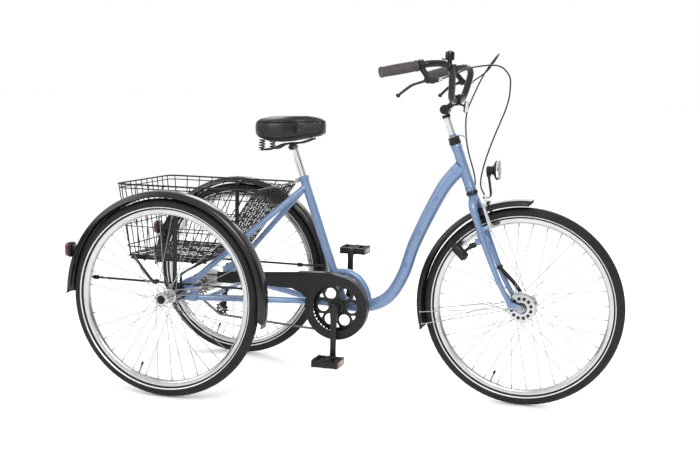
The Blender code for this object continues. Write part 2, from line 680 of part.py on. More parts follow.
def make_wheel(word, axle, carrier, hub_profile, flange_radius, flange_y):
    """Tyre, rim and a hub with its laced spokes."""
    tyre = turned(f"tyre_{word}", TYRE_PROFILE, axle, ACROSS, WHEEL_STEPS, closed=True)
    rim = turned(f"rim_{word}", RIM_PROFILE, axle, ACROSS, WHEEL_STEPS, closed=True)
    piece(tyre, TYRE_RUBBER, carrier)
    piece(rim, ALLOY, carrier)
    hub = solid(turned(f"hub_{word}", hub_profile, axle, ACROSS, 18, closed=True))
    bm = bmesh.new()
    for number in range(SPOKES):
        angle = math.tau * (number + 0.5) / SPOKES
        out = Vector((math.cos(angle), 0, math.sin(angle)))
        side = 1 if number % 2 else -1
        start = axle + out * (flange_radius - 0.004) + ACROSS * side * flange_y
        end = axle + out * (RIM_INNER * math.cos(math.pi / WHEEL_STEPS) - 0.0004) + ACROSS * side * 0.003
        matrix = facing((start + end) / 2, end - start, ACROSS)
        bmesh.ops.create_cone(bm, cap_ends=True, segments=3, radius1=SPOKE_RADIUS, radius2=SPOKE_RADIUS,
                              depth=(end - start).length, matrix=matrix)
    spokes = new_mesh(f"spokes_{word}", bm)
    piece(combine(hub, [spokes]), ALLOY, carrier)


REAR_HUB_PROFILE = [(0.0240, 0.0330), (0.0240, 0.0290), (0.0150, 0.0260), (0.0150, -0.0260), (0.0240, -0.0290),
                    (0.0240, -0.0330), (0.0090, -0.0330), (0.0090, 0.0330)]
FRONT_HUB_PROFILE = [(0.0470, 0.0310), (0.0470, 0.0270), (0.0400, 0.0250), (0.0400, -0.0250),
                     (0.0470, -0.0270), (0.0470, -0.0310), (0.0062, -0.0340), (0.0062, 0.0340)]


def make_rear_wheels():
    """Each rear wheel turns with its own half of the axle."""
    for side, word in ((-1, "right"), (1, "left")):
        axle = REAR_AXLE + ACROSS * side * HALF_TRACK
        carrier = pivot(f"rear_wheel_{word}_pivot", axle)
        make_wheel(f"rear_{word}", axle, carrier, REAR_HUB_PROFILE, 0.0240, 0.0310)
        inner_end = 0.030 + side * 0.001
        shaft = rod(f"axle_shaft_{word}", REAR_AXLE + ACROSS * inner_end,
                    REAR_AXLE + ACROSS * side * 0.3690, AXLE_RADIUS, sides=16)
        piece(shaft, STEEL, carrier)


# Steering ---------------------------------------------------------------------------------
def make_fork(steering):
    """Fork with its steerer, two raked blades, dropouts, brake bosses and lamp tab."""
    steerer = solid(turned("fork", [(0.0, 0.196), (STEERER_RADIUS, 0.196), (STEERER_RADIUS, -0.0160),
                                    (0.0165, -0.0170), (0.0165, -0.0440), (0.0, -0.0440)],
                           on_head(0), HEAD_UP, 20))
    parts = []
    axle_along = (FRONT_AXLE - HEAD_ORIGIN).dot(HEAD_UP)
    axle_forward = (FRONT_AXLE - HEAD_ORIGIN).dot(HEAD_FORWARD)
    for side in (-1, 1):
        route = smooth_route([on_head(-0.0270, 0.001, side * 0.0100), on_head(-0.0330, -0.001, side * 0.0300),
                              on_head(-0.0560, -0.004, side * 0.0465), on_head(-0.1000, -0.005, side * 0.0500),
                              on_head(-0.2100, -0.0045, side * BLADE_SPREAD),
                              on_head(-0.3100, 0.0005, side * (BLADE_SPREAD + 0.002)),
                              on_head(axle_along + 0.026, axle_forward - 0.027, side * DROPOUT_SPREAD)], 2)
        parts.append(tube(f"blade_{side}", route, 0.0138, 10, lambda t: 1 - 0.42 * max(0, t - 0.3) / 0.7))
        foot = route[-1]
        parts.append(strap(f"dropout_{side}", FRONT_AXLE + ACROSS * side * DROPOUT_SPREAD, 0.0130,
                           Vector((foot.x, foot.y, foot.z)), 0.0090, 0.0060))
        boss = on_head(-0.1290, -0.003, side * 0.0505)
        parts.append(rod(f"brake_boss_{side}", boss, boss + HEAD_FORWARD * 0.0460, 0.0040, sides=12))
    tab_side = -0.0520
    parts.append(block("dynamo_tab", place(0.9950, tab_side, 0.5490), (0.0450, 0.0040, 0.0240),
                       HEAD_UP, HEAD_FORWARD))
    combine(steerer, [solid(part) for part in parts])
    cutter = rod("front_axle_hole", FRONT_AXLE - ACROSS * 0.08, FRONT_AXLE + ACROSS * 0.08, 0.0053, sides=12)
    quill_bore = rod("quill_bore", on_head(0.080), on_head(0.22), QUILL_RADIUS + GAP, sides=20)
    piece(combine(steerer, [cutter, quill_bore], "DIFFERENCE"), BLUE_PAINT, steering)


BAR_CENTRE = (0.885, 1.000)
STEM_PIVOT = (0.8485, 0.9690)
GRIP_START = (0.810, 0.272, 1.104)
GRIP_END = (0.711, 0.332, 1.081)


def bar_route(side):
    """Handlebar from its middle to one end."""
    start, end = Vector(GRIP_START), Vector(GRIP_END)
    inward = (start - end).normalized()
    points = [(BAR_CENTRE[0], 0.030, BAR_CENTRE[1]), (BAR_CENTRE[0], 0.070, BAR_CENTRE[1]),
              (0.888, 0.108, 1.014), (0.895, 0.142, 1.055), (0.897, 0.172, 1.093), (0.879, 0.212, 1.1130),
              start + inward * 0.042, start + inward * 0.024, start, end]
    return [place(x, y * side, z) for x, y, z in points]


def grip_axis(side):
    """Grip's inner end and its direction outwards."""
    start, end = (place(x, y * side, z) for x, y, z in (GRIP_START, GRIP_END))
    return start, (end - start).normalized()


def make_stem_and_bar(steering):
    """Quill stem, adjustable clamp, swept handlebar and two grips."""
    quill_top = (place(STEM_PIVOT[0], 0, STEM_PIVOT[1]) - HEAD_ORIGIN).dot(HEAD_UP) - 0.0166
    piece(rod("stem_quill", on_head(0.110), on_head(quill_top), QUILL_RADIUS, sides=20), CHROME, steering)
    lower = place(STEM_PIVOT[0], 0, STEM_PIVOT[1])
    upper = place(BAR_CENTRE[0], 0, BAR_CENTRE[1])
    clamp = rod("stem_clamp", lower - ACROSS * 0.019, lower + ACROSS * 0.019, 0.0160, sides=20)
    arm = block("stem_arm", (lower + upper) / 2, (0.020, 0.024, (upper - lower).length), upper - lower, ACROSS)
    collar = rod("stem_collar", upper - ACROSS * 0.022, upper + ACROSS * 0.022, 0.0175, sides=20)
    bore = rod("stem_bore", upper - ACROSS * 0.04, upper + ACROSS * 0.04, BAR_RADIUS + GAP, sides=20)
    combine(clamp, [arm, collar])
    piece(combine(clamp, [bore], "DIFFERENCE"), BLACK_METAL, steering)
    right, left = bar_route(-1), bar_route(1)
    route = smooth_route([*reversed(right), upper, *left], 2)
    trimmed = [point for point in route if abs(point.y) < GRIP_END[1] - 0.0030]
    piece(tube("handlebar", trimmed, BAR_RADIUS, 10), BLACK_METAL, steering)
    for side, word in ((-1, "right"), (1, "left")):
        start, out = grip_axis(side)
        end = start + out * (GRIP_LENGTH + 0.003)
        grip = rod(f"grip_{word}", start, end, GRIP_RADIUS, sides=20)
        cutter = rod(f"grip_bore_{word}", start - out * 0.02, end - out * 0.0035, BAR_RADIUS + GAP, sides=20)
        piece(combine(grip, [cutter], "DIFFERENCE"), GRIP_RUBBER, steering)


LEVER_PIVOT = (0.838, 0.281, 1.060)
LEVER_TIP = (0.764, 0.318, 1.013)


def make_brake_levers(steering):
    """Lever mounts clamped inboard of the grips, and the levers that pivot in them."""
    for side, word in ((-1, "right"), (1, "left")):
        start, out = grip_axis(side)
        collar = start - out * 0.0130
        mount = solid(ring(f"brake_lever_mount_{word}", collar, out, 0.0170, BAR_RADIUS + GAP, 0.0160, 20))
        hinge = place(LEVER_PIVOT[0], LEVER_PIVOT[1] * side, LEVER_PIVOT[2])
        tip = place(LEVER_TIP[0], LEVER_TIP[1] * side, LEVER_TIP[2])
        swing = lever_axis(side)
        drop = (hinge - collar)
        across_bar = (drop - out * drop.dot(out)).normalized()
        neck_top = collar + across_bar * 0.0150
        nose = place(0.880, 0.283 * side, 1.063)
        neck = tube(f"lever_neck_{word}", [neck_top, hinge + (nose - hinge) * 0.45, nose], 0.0080, 10)
        combine(mount, [solid(neck)])
        lever_pivot = pivot(f"brake_lever_{word}_pivot", hinge, steering)
        piece(mount, BLACK_METAL, steering)
        bend = hinge.lerp(tip, 0.48) + Vector((0, 0, 0.008))
        lever_root = hinge + (tip - hinge).normalized() * 0.004
        route = smooth_route([lever_root, bend, tip], 3)
        blade = solid(tube(f"brake_lever_{word}", route, 0.0050, 8))
        knob = rod(f"lever_knob_{word}", tip - swing * 0.006, tip + swing * 0.006, 0.0062, sides=12)
        piece(combine(blade, [knob]), BLACK_METAL, lever_pivot)


def lever_axis(side):
    """Axis about which a brake lever closes towards its grip by the right-hand rule."""
    _, out = grip_axis(side)
    hinge = place(LEVER_PIVOT[0], LEVER_PIVOT[1] * side, LEVER_PIVOT[2])
    tip = place(LEVER_TIP[0], LEVER_TIP[1] * side, LEVER_TIP[2])
    return (tip - hinge).normalized().cross(out).normalized()


def make_headlight(steering):
    """Headlight on its bent bracket in front of the fork crown."""
    bracket = tube("headlight_bracket", [place(0.9840, 0, 0.6830), place(1.0060, 0, 0.6870), place(1.0100, 0, 0.6920),
                                         place(1.0010, 0, 0.7610)], 0.0035, 8)
    piece(bracket, BLACK_METAL, steering)
    lamp = turned("headlight", [(0.0, 0.0470), (0.0300, 0.0440), (0.0360, 0.0380), (0.0350, 0.0340), (0.0280, 0.0290),
                                (0.0170, 0.0240), (0.0136, 0.0180), (0.0130, 0.0), (0.0, 0.0)],
                  place(0.993, 0, 0.7750), Vector((1, 0, 0.05)), 24)
    piece(lamp, BLACK_PLASTIC, steering)


def make_front_fender(steering):
    """Front fender between the blades."""
    piece(make_fender("front_fender", FRONT_AXLE, 87, 196.5, 16), BLACK_PLASTIC, steering)


def make_rim_brake(steering):
    """Two brake arms with pads, each pivoting on its boss."""
    for side, word in ((-1, "right"), (1, "left")):
        hinge = on_head(-0.1290, 0.0320, side * 0.0505)
        arm_pivot = pivot(f"brake_arm_{word}_pivot", hinge, steering)
        middle = hinge + HEAD_UP * 0.036
        arm = block(f"brake_arm_{word}", middle, (0.0120, 0.0090, 0.0900), HEAD_UP, HEAD_FORWARD)
        out = (hinge - FRONT_AXLE + HEAD_UP * 0.022)
        out.y = 0
        out.normalize()
        pad_place = FRONT_AXLE + out * 0.2885 + ACROSS * side * 0.0210
        pad = block(f"brake_pad_{word}", pad_place, (0.0420, 0.0120, 0.0090), out, -ACROSS.cross(out))
        stud = rod(f"pad_stud_{word}", pad_place, pad_place + ACROSS * side * 0.0330, 0.0030, sides=10)
        cutter = rod(f"arm_bore_{word}", hinge - HEAD_FORWARD * 0.03, hinge + HEAD_FORWARD * 0.03, 0.0044, sides=16)
        combine(arm, [pad, stud])
        piece(combine(arm, [cutter], "DIFFERENCE"), ALLOY, arm_pivot)


def make_hub_brake(steering):
    """Fixed axle, brake plate and reaction arm of the front hub brake."""
    outer = 0.0720
    axle = rod("hub_brake", FRONT_AXLE - ACROSS * outer, FRONT_AXLE + ACROSS * outer, 0.0050, sides=12)
    plate = rod("brake_plate", FRONT_AXLE + ACROSS * 0.0345, FRONT_AXLE + ACROSS * 0.0455, 0.0440, sides=24)
    arm = tube("reaction_arm", [place(1.1180, 0.0410, 0.3700), place(1.0900, 0.0400, 0.4050),
                                place(1.0480, 0.0330, 0.4480)], 0.0050, 8)
    nuts = [rod(f"axle_nut_{side}", FRONT_AXLE + ACROSS * side * 0.0604, FRONT_AXLE + ACROSS * side * 0.0690,
                0.0090, sides=6) for side in (-1, 1)]
    piece(combine(axle, [plate, solid(arm), *nuts]), BLACK_METAL, steering)


def make_dynamo(steering):
    """Bottle dynamo that swings against the front tyre's side."""
    hinge = place(0.9700, -0.0520, 0.5380)
    swing = pivot("dynamo_pivot", hinge, steering)
    low, high, tip = place(0.9440, -0.0530, 0.4870), place(0.9065, -0.0530, 0.5245), place(0.8900, -0.0530, 0.5410)
    body = rod("dynamo", low, high, 0.0165, sides=20)
    neck = rod("dynamo_neck", high - (tip - high) * 0.2, tip, 0.0105, sides=16)
    arm = tube("dynamo_arm", [low.lerp(high, 0.4), place(0.9600, -0.0570, 0.5260)], 0.0055, 8)
    piece(combine(body, [neck, solid(arm)]), BLACK_METAL, swing)


def make_cables(steering):
    """Two brake cables from the lever mounts, held at both ends."""
    rim_route = [(0.8840, -0.2830, 1.0635), (0.9260, -0.2080, 1.0870), (0.9620, -0.1430, 1.1060),
                 (1.0240, -0.0640, 1.1140), (1.0560, -0.0330, 1.0880), (1.0620, -0.0220, 1.0500),
                 (1.0520, -0.0120, 0.9860), (1.0110, -0.0060, 0.8770), (0.9850, -0.0120, 0.7900),
                 (0.9800, -0.0300, 0.7300), (1.0010, -0.0500, 0.6900)]
    hub_route = [(0.8840, 0.2830, 1.0635), (0.9400, 0.2600, 1.1030), (0.9860, 0.2050, 1.1570),
                 (0.9840, 0.1400, 1.1430), (0.9560, 0.0860, 1.0850), (0.9240, 0.0520, 1.0000),
                 (0.9130, 0.0340, 0.9520), (0.9150, 0.0280, 0.8900), (0.9260, 0.0270, 0.8300),
                 (0.9500, 0.0270, 0.7500), (0.9500, 0.0500, 0.6900), (0.9640, 0.0740, 0.6100),
                 (0.9960, 0.0750, 0.5200), (1.0250, 0.0680, 0.4400), (1.0450, 0.0520, 0.4000),
                 (1.0650, 0.0420, 0.3700), (1.0870, 0.0405, 0.3450)]
    for name, points in (("rim_brake_cable", rim_route), ("hub_brake_cable", hub_route)):
        route = smooth_route([place(*point) for point in points], 2)
        piece(tube(name, route, 0.0025, 8), BLACK_PLASTIC, steering)


# Seat -------------------------------------------------------------------------------------
SADDLE_PLAN = [(0.188, 0.060), (0.200, 0.090), (0.245, 0.105), (0.300, 0.088), (0.350, 0.050), (0.405, 0.031),
               (0.441, 0.022)]
SADDLE_TOP_Z = 0.921
SADDLE_FOOT_Z = 0.8430


def make_saddle(seat):
    """Wide padded saddle: a lofted body, broad at the back with a slim nose."""
    bm = bmesh.new()
    sections = []
    for number, (x, half) in enumerate(SADDLE_PLAN):
        end = number in (0, len(SADDLE_PLAN) - 1)
        top = SADDLE_TOP_Z + (x - 0.188) * 0.034 - (0.012 if end else 0.0)
        foot = SADDLE_FOOT_Z + (0.012 if end else 0.0) + max(0, x - 0.300) * 0.19 + max(0, 0.262 - x) * 0.28
        levels = [(top, 0.62), (top - 0.014, 0.94), (foot + 0.016, 1.0), (foot, 0.80)]
        left = [bm.verts.new(place(x, half * share, z)) for z, share in levels]
        right = [bm.verts.new(place(x, -half * share, z)) for z, share in reversed(levels)]
        sections.append(left + right)
    count = len(sections[0])
    for first, second in zip(sections, sections[1:]):
        for number in range(count):
            following = (number + 1) % count
            bm.faces.new((first[number], first[following], second[following], second[number]))
    bm.faces.new(sections[0])
    bm.faces.new(reversed(sections[-1]))
    saddle = new_mesh("saddle", bm)
    piece(saddle, SADDLE_VINYL, seat)


def make_seat():
    """Seat post that slides in the seat tube, saddle frame with springs, and saddle."""
    seat = pivot("seat_pivot", on_seat(SEAT_TUBE_TOP))
    post_top = 0.2260
    piece(rod("seat_post", on_seat(-0.0900), on_seat(post_top), SEAT_POST_RADIUS, sides=20), CHROME, seat)
    clamp_place = on_seat(post_top) + Vector((-0.006, 0, 0.0102))
    clamp = rod("saddle_frame", clamp_place - ACROSS * 0.024, clamp_place + ACROSS * 0.024, 0.0098, sides=16)
    rails = []
    for side in (-1, 1):
        route = [place(0.3960, side * 0.014, 0.8572), place(0.3500, side * 0.020, 0.8410),
                 place(0.2950, side * 0.022, 0.8350), place(0.2560, side * 0.040, 0.8180),
                 place(0.2260, side * 0.052, 0.8180)]
        rails.append(tube(f"saddle_rail_{side}", route, 0.0035, 8))
        spring_foot = place(0.2260, side * 0.052, 0.8120)
        rails.append(rod(f"saddle_spring_{side}", spring_foot, spring_foot + UP * 0.0376, 0.0110, sides=14))
    bridge = rod("saddle_bridge", place(0.2260, -0.052, 0.8150), place(0.2260, 0.052, 0.8150), 0.0035, sides=8)
    solids = [solid(rail) for rail in rails]
    piece(combine(clamp, [*solids, bridge]), STEEL, seat)
    make_saddle(seat)


def build():
    """Make the whole tricycle."""
    make_frame()
    make_headset()
    make_seat_clamp()
    make_bottom_bracket()
    make_axle_bearings()
    make_rear_fenders()
    make_basket()
    make_basket_support()
    make_chain_guard()
    make_chain()
    make_tensioner()
    make_rear_drive()
    make_crankset()
    make_rear_wheels()
    steering = pivot("steering_pivot", HEAD_ORIGIN)
    make_fork(steering)
    make_stem_and_bar(steering)
    make_brake_levers(steering)
    make_headlight(steering)
    make_front_fender(steering)
    make_rim_brake(steering)
    make_hub_brake(steering)
    make_dynamo(steering)
    make_cables(steering)
    front_wheel = pivot("front_wheel_pivot", FRONT_AXLE, steering)
    make_wheel("front", FRONT_AXLE, front_wheel, FRONT_HUB_PROFILE, 0.0470, 0.0290)
    make_seat()


build()
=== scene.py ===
"""Looks of the adult tricycle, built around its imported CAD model.

Metres, in the row frame: +X forward, +Y to the rider's left, +Z up, ground at Z = 0. Places along X
are given from the rear axle, and place() takes them to the row frame.
"""
import json
import math

import bmesh
import bpy
from mathutils import Matrix, Vector, noise
from mathutils.bvhtree import BVHTree
from mathutils.kdtree import KDTree


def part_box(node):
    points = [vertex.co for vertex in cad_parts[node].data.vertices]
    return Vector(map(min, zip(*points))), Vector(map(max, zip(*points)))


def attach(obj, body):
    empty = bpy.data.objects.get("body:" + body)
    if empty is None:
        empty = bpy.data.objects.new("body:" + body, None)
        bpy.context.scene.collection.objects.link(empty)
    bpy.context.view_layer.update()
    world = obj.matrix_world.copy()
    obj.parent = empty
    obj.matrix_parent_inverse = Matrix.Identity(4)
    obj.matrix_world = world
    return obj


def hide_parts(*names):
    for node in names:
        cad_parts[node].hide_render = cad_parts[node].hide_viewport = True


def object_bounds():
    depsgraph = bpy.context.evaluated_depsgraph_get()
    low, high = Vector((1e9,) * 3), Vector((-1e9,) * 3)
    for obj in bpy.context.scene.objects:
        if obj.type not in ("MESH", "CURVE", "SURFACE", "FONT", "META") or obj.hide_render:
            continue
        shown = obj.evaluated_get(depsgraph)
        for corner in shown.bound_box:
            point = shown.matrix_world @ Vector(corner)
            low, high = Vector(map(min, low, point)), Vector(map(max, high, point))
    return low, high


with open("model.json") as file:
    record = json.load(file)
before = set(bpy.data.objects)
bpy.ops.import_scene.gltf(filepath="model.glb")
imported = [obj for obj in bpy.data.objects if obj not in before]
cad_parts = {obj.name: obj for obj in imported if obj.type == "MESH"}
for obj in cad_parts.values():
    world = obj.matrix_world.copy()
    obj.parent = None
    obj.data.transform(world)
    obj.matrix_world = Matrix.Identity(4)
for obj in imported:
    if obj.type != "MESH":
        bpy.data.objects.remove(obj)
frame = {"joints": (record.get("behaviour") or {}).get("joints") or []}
CAD_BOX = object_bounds()
JOINTS = {joint["name"]: joint for joint in frame["joints"]}
ACROSS = Vector((0, 1, 0))
UP = Vector((0, 0, 1))
FORWARD = Vector((1, 0, 0))
SIDES = ((-1, "right"), (1, "left"))
BOTH = (-1, 1)


# Places that the frame gives ----------------------------------------------------------------
def middle(node):
    """Middle of a CAD node's box."""
    low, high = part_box(node)
    return (low + high) / 2


def joint_axis(name):
    """Direction of a joint's axis."""
    return Vector(JOINTS[name]["axis"]).normalized()


def joint_place(name):
    """A place on a joint's axis."""
    return Vector(JOINTS[name]["pos_m"])


WHEEL = {word: middle(f"tyre_{word}") for word in ("rear_right", "rear_left", "front")}
WHEEL_RADIUS = WHEEL["front"].z
FRONT_AXLE = WHEEL["front"]
REAR_AXLE = (WHEEL["rear_right"] + WHEEL["rear_left"]) / 2
HALF_TRACK = WHEEL["rear_left"].y
CRANK_AXIS = Vector((middle("chainring").x, 0, middle("chainring").z))
CHAIN_Y = middle("chain").y
PULLEY = middle("tensioner_pulley")
HEAD_FOOT = joint_place("steering")
HEAD_UP = joint_axis("steering")
HEAD_FORWARD = Vector((HEAD_UP.z, 0, -HEAD_UP.x))
SEAT_UP = joint_axis("seat_height")
SEAT_BACK = Vector((-SEAT_UP.z, 0, SEAT_UP.x))


def place(x, y, z):
    """Row-frame place of a point given from the rear axle."""
    return Vector((REAR_AXLE.x + x, y, z))


SEAT_FOOT = place(0.404, 0, 0.603)
SEAT_CLAMP_AT = 0.123
POST_TOP = 0.227
HEAD_LENGTH = 0.16
CROSS_TUBE_X, CROSS_TUBE_Z = 0.09, 0.314
CARRIER_Z = 0.37
POST_X = 0.006
RAIL_Y = 0.183
BRAKE_BOSS_AT, BRAKE_BOSS_Y = -0.129, 0.0505


def on_head(along, forward=0.0, y=0.0):
    """Place on the steering axis, measured up it from the foot of the head tube."""
    return HEAD_FOOT + HEAD_UP * along + HEAD_FORWARD * forward + ACROSS * y


def on_seat(along):
    """Place on the seat tube's axis."""
    return SEAT_FOOT + SEAT_UP * along


def link(obj):
    """Put an object in the scene."""
    bpy.context.scene.collection.objects.link(obj)


# Materials ----------------------------------------------------------------------------------
def finish(name, colour, roughness, metallic=0.0, coat=0.0, mottle=0.08, patch=14.0, grain=700.0,
        depth=0.00005, spread=0.08, cells=False, transmission=0.0, specular=0.5):
    """Procedural finish: patches of slightly other colour, uneven gloss and a fine relief."""
    material = bpy.data.materials.new(name)
    material.use_nodes = True
    nodes, links = material.node_tree.nodes, material.node_tree.links
    shader = nodes["Principled BSDF"]
    shader.inputs["Metallic"].default_value = metallic
    shader.inputs["Coat Weight"].default_value = coat
    shader.inputs["Coat Roughness"].default_value = 0.08
    shader.inputs["Specular IOR Level"].default_value = specular
    shader.inputs["Transmission Weight"].default_value = transmission
    coordinates = nodes.new("ShaderNodeTexCoord")
    patches = nodes.new("ShaderNodeTexNoise")
    patches.inputs["Scale"].default_value = patch
    patches.inputs["Detail"].default_value = 4
    links.new(coordinates.outputs["Object"], patches.inputs["Vector"])
    ramp = nodes.new("ShaderNodeValToRGB")
    dark = tuple(channel * (1 - mottle) for channel in colour)
    light = tuple(min(1, channel * (1 + mottle)) for channel in colour)
    ramp.color_ramp.elements[0].position = 0.35
    ramp.color_ramp.elements[0].color = (*dark, 1)
    ramp.color_ramp.elements[1].position = 0.65
    ramp.color_ramp.elements[1].color = (*light, 1)
    links.new(patches.outputs["Fac"], ramp.inputs["Fac"])
    links.new(ramp.outputs["Color"], shader.inputs["Base Color"])
    if cells:
        fine = nodes.new("ShaderNodeTexVoronoi")
        relief = fine.outputs["Distance"]
    else:
        fine = nodes.new("ShaderNodeTexNoise")
        fine.inputs["Detail"].default_value = 3
        relief = fine.outputs["Fac"]
    fine.inputs["Scale"].default_value = grain
    links.new(coordinates.outputs["Object"], fine.inputs["Vector"])
    gloss = nodes.new("ShaderNodeMapRange")
    gloss.inputs["To Min"].default_value = max(0.02, roughness - spread / 2)
    gloss.inputs["To Max"].default_value = min(1.0, roughness + spread / 2)
    links.new(patches.outputs["Fac"], gloss.inputs["Value"])
    links.new(gloss.outputs["Result"], shader.inputs["Roughness"])
    bump = nodes.new("ShaderNodeBump")
    bump.inputs["Strength"].default_value = 0.6
    bump.inputs["Distance"].default_value = depth
    links.new(relief, bump.inputs["Height"])
    links.new(bump.outputs["Normal"], shader.inputs["Normal"])
    return material


PAINT = finish("blue_metallic_paint", (0.138, 0.211, 0.355), 0.28, metallic=0.2, coat=0.45, mottle=0.05,
        patch=9.0, grain=2600.0, depth=0.00002)
WELD_PAINT = finish("painted_weld", (0.131, 0.201, 0.338), 0.36, metallic=0.18, coat=0.35, mottle=0.1,
        patch=60.0, grain=420.0, depth=0.00025)
BLACK_GLOSS = finish("black_fender_plastic", (0.006, 0.006, 0.0065), 0.2, coat=0.15, mottle=0.25,
        grain=1500.0,
        depth=0.00002, specular=0.35)
BLACK_MOULDED = finish("black_moulded_plastic", (0.009, 0.009, 0.0095), 0.42, mottle=0.2, grain=1900.0,
        depth=0.00012, cells=True, specular=0.28)
BLACK_PAINT = finish("black_painted_metal", (0.007, 0.007, 0.0075), 0.3, coat=0.08, mottle=0.2, grain=900.0,
        depth=0.00004, specular=0.3)
WIRE_COAT = finish("black_dipped_wire", (0.01, 0.01, 0.0105), 0.4, mottle=0.25, patch=40.0,
        grain=1200.0, depth=0.00005, specular=0.28)
CHROME = finish("chrome", (0.74, 0.75, 0.77), 0.07, metallic=1.0, mottle=0.03, grain=400.0, depth=0.00001,
        spread=0.04)
ALLOY = finish("polished_alloy", (0.52, 0.525, 0.54), 0.24, metallic=1.0, mottle=0.06, patch=30.0,
        grain=1400.0, depth=0.00003, spread=0.12)
SATIN_ALLOY = finish("satin_alloy", (0.42, 0.425, 0.44), 0.38, metallic=1.0, mottle=0.08, patch=50.0,
        grain=900.0, depth=0.00005, spread=0.12)
ZINC = finish("zinc_steel", (0.4, 0.4, 0.41), 0.34, metallic=1.0, mottle=0.15, patch=120.0, grain=900.0,
        depth=0.00005, spread=0.15)
DARK_STEEL = finish("black_zinc_steel", (0.02, 0.02, 0.021), 0.34, metallic=0.5, mottle=0.2, patch=120.0,
        grain=900.0, depth=0.00005, specular=0.35)
STAY_WIRE = finish("grey_stay_wire", (0.34, 0.345, 0.345), 0.42, metallic=0.7, mottle=0.08, patch=60.0,
        grain=900.0)
SPOKE_STEEL = finish("spoke_steel", (0.28, 0.285, 0.295), 0.34, metallic=0.9, mottle=0.05, grain=500.0)
CHAIN_STEEL = finish("oiled_chain_steel", (0.16, 0.148, 0.136), 0.36, metallic=1.0, mottle=0.35,
        patch=160.0,
        grain=1200.0, depth=0.00005, spread=0.2)
TREAD = finish("tyre_rubber", (0.013, 0.013, 0.013), 0.78, mottle=0.25, patch=25.0, grain=1300.0,
        depth=0.0002, cells=True, specular=0.25)
STRIPE = finish("reflective_stripe", (0.62, 0.63, 0.64), 0.34, mottle=0.05, patch=80.0, grain=2500.0,
        depth=0.00006, cells=True, metallic=0.2)
GRIP_RUBBER = finish("grip_rubber", (0.058, 0.052, 0.051), 0.62, mottle=0.2, patch=60.0, grain=1600.0,
        depth=0.00018, cells=True, specular=0.35)
VINYL = finish("saddle_vinyl", (0.01, 0.01, 0.0105), 0.4, coat=0.06, mottle=0.25, patch=30.0, grain=620.0,
        depth=0.00022, cells=True, spread=0.1, specular=0.32)
THREAD = finish("saddle_piping", (0.012, 0.012, 0.0125), 0.5, mottle=0.3, patch=300.0, grain=1500.0,
        depth=0.0001, specular=0.25)
RED_LENS = finish("red_lens", (0.155, 0.012, 0.014), 0.14, coat=0.3, mottle=0.15, patch=220.0, grain=380.0,
        depth=0.0004, cells=True)
AMBER = finish("amber_reflector", (0.28, 0.12, 0.03), 0.22, coat=0.2, mottle=0.12, patch=260.0, grain=420.0,
        depth=0.0004, cells=True)
CLEAR = finish("clear_reflector", (0.62, 0.64, 0.66), 0.12, coat=0.5, mottle=0.06, patch=260.0, grain=380.0,
        depth=0.0004, cells=True, metallic=0.3)
LAMP_GLASS = finish("lamp_glass", (0.86, 0.88, 0.9), 0.06, mottle=0.03, grain=260.0, depth=0.0002,
        transmission=0.85)
FLAP = finish("grey_mudflap_rubber", (0.13, 0.13, 0.135), 0.6, mottle=0.12, patch=40.0, grain=900.0,
        depth=0.00012)
CABLE_COVER = finish("cable_cover", (0.011, 0.011, 0.011), 0.4, mottle=0.2, patch=90.0, grain=900.0,
        depth=0.00004, specular=0.3)


# Shapes, each added to a bmesh --------------------------------------------------------------
def facing(where, axis, start=None):
    """Matrix that takes local Z to an axis and, where given, local X to a start direction."""
    z = axis.normalized()
    if start is None:
        start = FORWARD if abs(z.x) < 0.9 else ACROSS
    x = (start - z * start.dot(z)).normalized()
    return Matrix.Translation(where) @ Matrix((x, z.cross(x), z)).transposed().to_4x4()


def smooth_route(points, per_span=8):
    """Points along a Catmull-Rom curve through the given points."""
    points = [Vector(point) for point in points]
    padded = [points[0] * 2 - points[1], *points, points[-1] * 2 - points[-2]]
    route = []
    for before, first, second, after in zip(padded, padded[1:], padded[2:], padded[3:]):
        for step in range(per_span):
            t = step / per_span
            route.append(0.5 * (2 * first + (second - before) * t
                    + (2 * before - 5 * first + 4 * second - after) * t ** 2
                    + (3 * first - before - 3 * second + after) * t ** 3))
    return [*route, points[-1]]


def add_loft(bm, sections, closed=False):
    """Skin over a row of rings that have equal numbers of places."""
    rings = [[bm.verts.new(point) for point in section] for section in sections]
    pairs = list(zip(rings, rings[1:]))
    if closed:
        pairs.append((rings[-1], rings[0]))
    for first, second in pairs:
        count = len(first)
        for number in range(count):
            following = (number + 1) % count
            bm.faces.new((first[number], first[following], second[following], second[number]))
    if not closed:
        bm.faces.new(list(reversed(rings[0])))
        bm.faces.new(rings[-1])


def add_tube(bm, points, radius, sides=12, swell=None, closed=False):
    """Round tube along points; swell gives the radius's share at each point."""
    points = [Vector(point) for point in points]
    count = len(points)
    normal = None
    sections = []
    for number, point in enumerate(points):
        if closed:
            before, after = points[number - 1], points[(number + 1) % count]
        else:
            before, after = points[max(0, number - 1)], points[min(count - 1, number + 1)]
        tangent = (after - before).normalized()
        if normal is None:
            normal = tangent.orthogonal()
        normal = (normal - tangent * normal.dot(tangent)).normalized()
        side = tangent.cross(normal)
        size = radius * (swell(number / (count - 1)) if swell else 1)
        sections.append([point + (normal * math.cos(a) + side * math.sin(a)) * size
                for a in turns(sides)])
    add_loft(bm, sections, closed=closed)


def add_rod(bm, start, end, radius, sides=20):
    """Straight round bar with slightly broken edges."""
    axis = end - start
    edge = min(0.0006, radius * 0.2, axis.length * 0.2)
    profile = [(0, 0), (radius - edge, 0), (radius, edge), (radius, axis.length - edge),
            (radius - edge, axis.length), (0, axis.length)]
    add_turned(bm, profile, start, axis, sides)


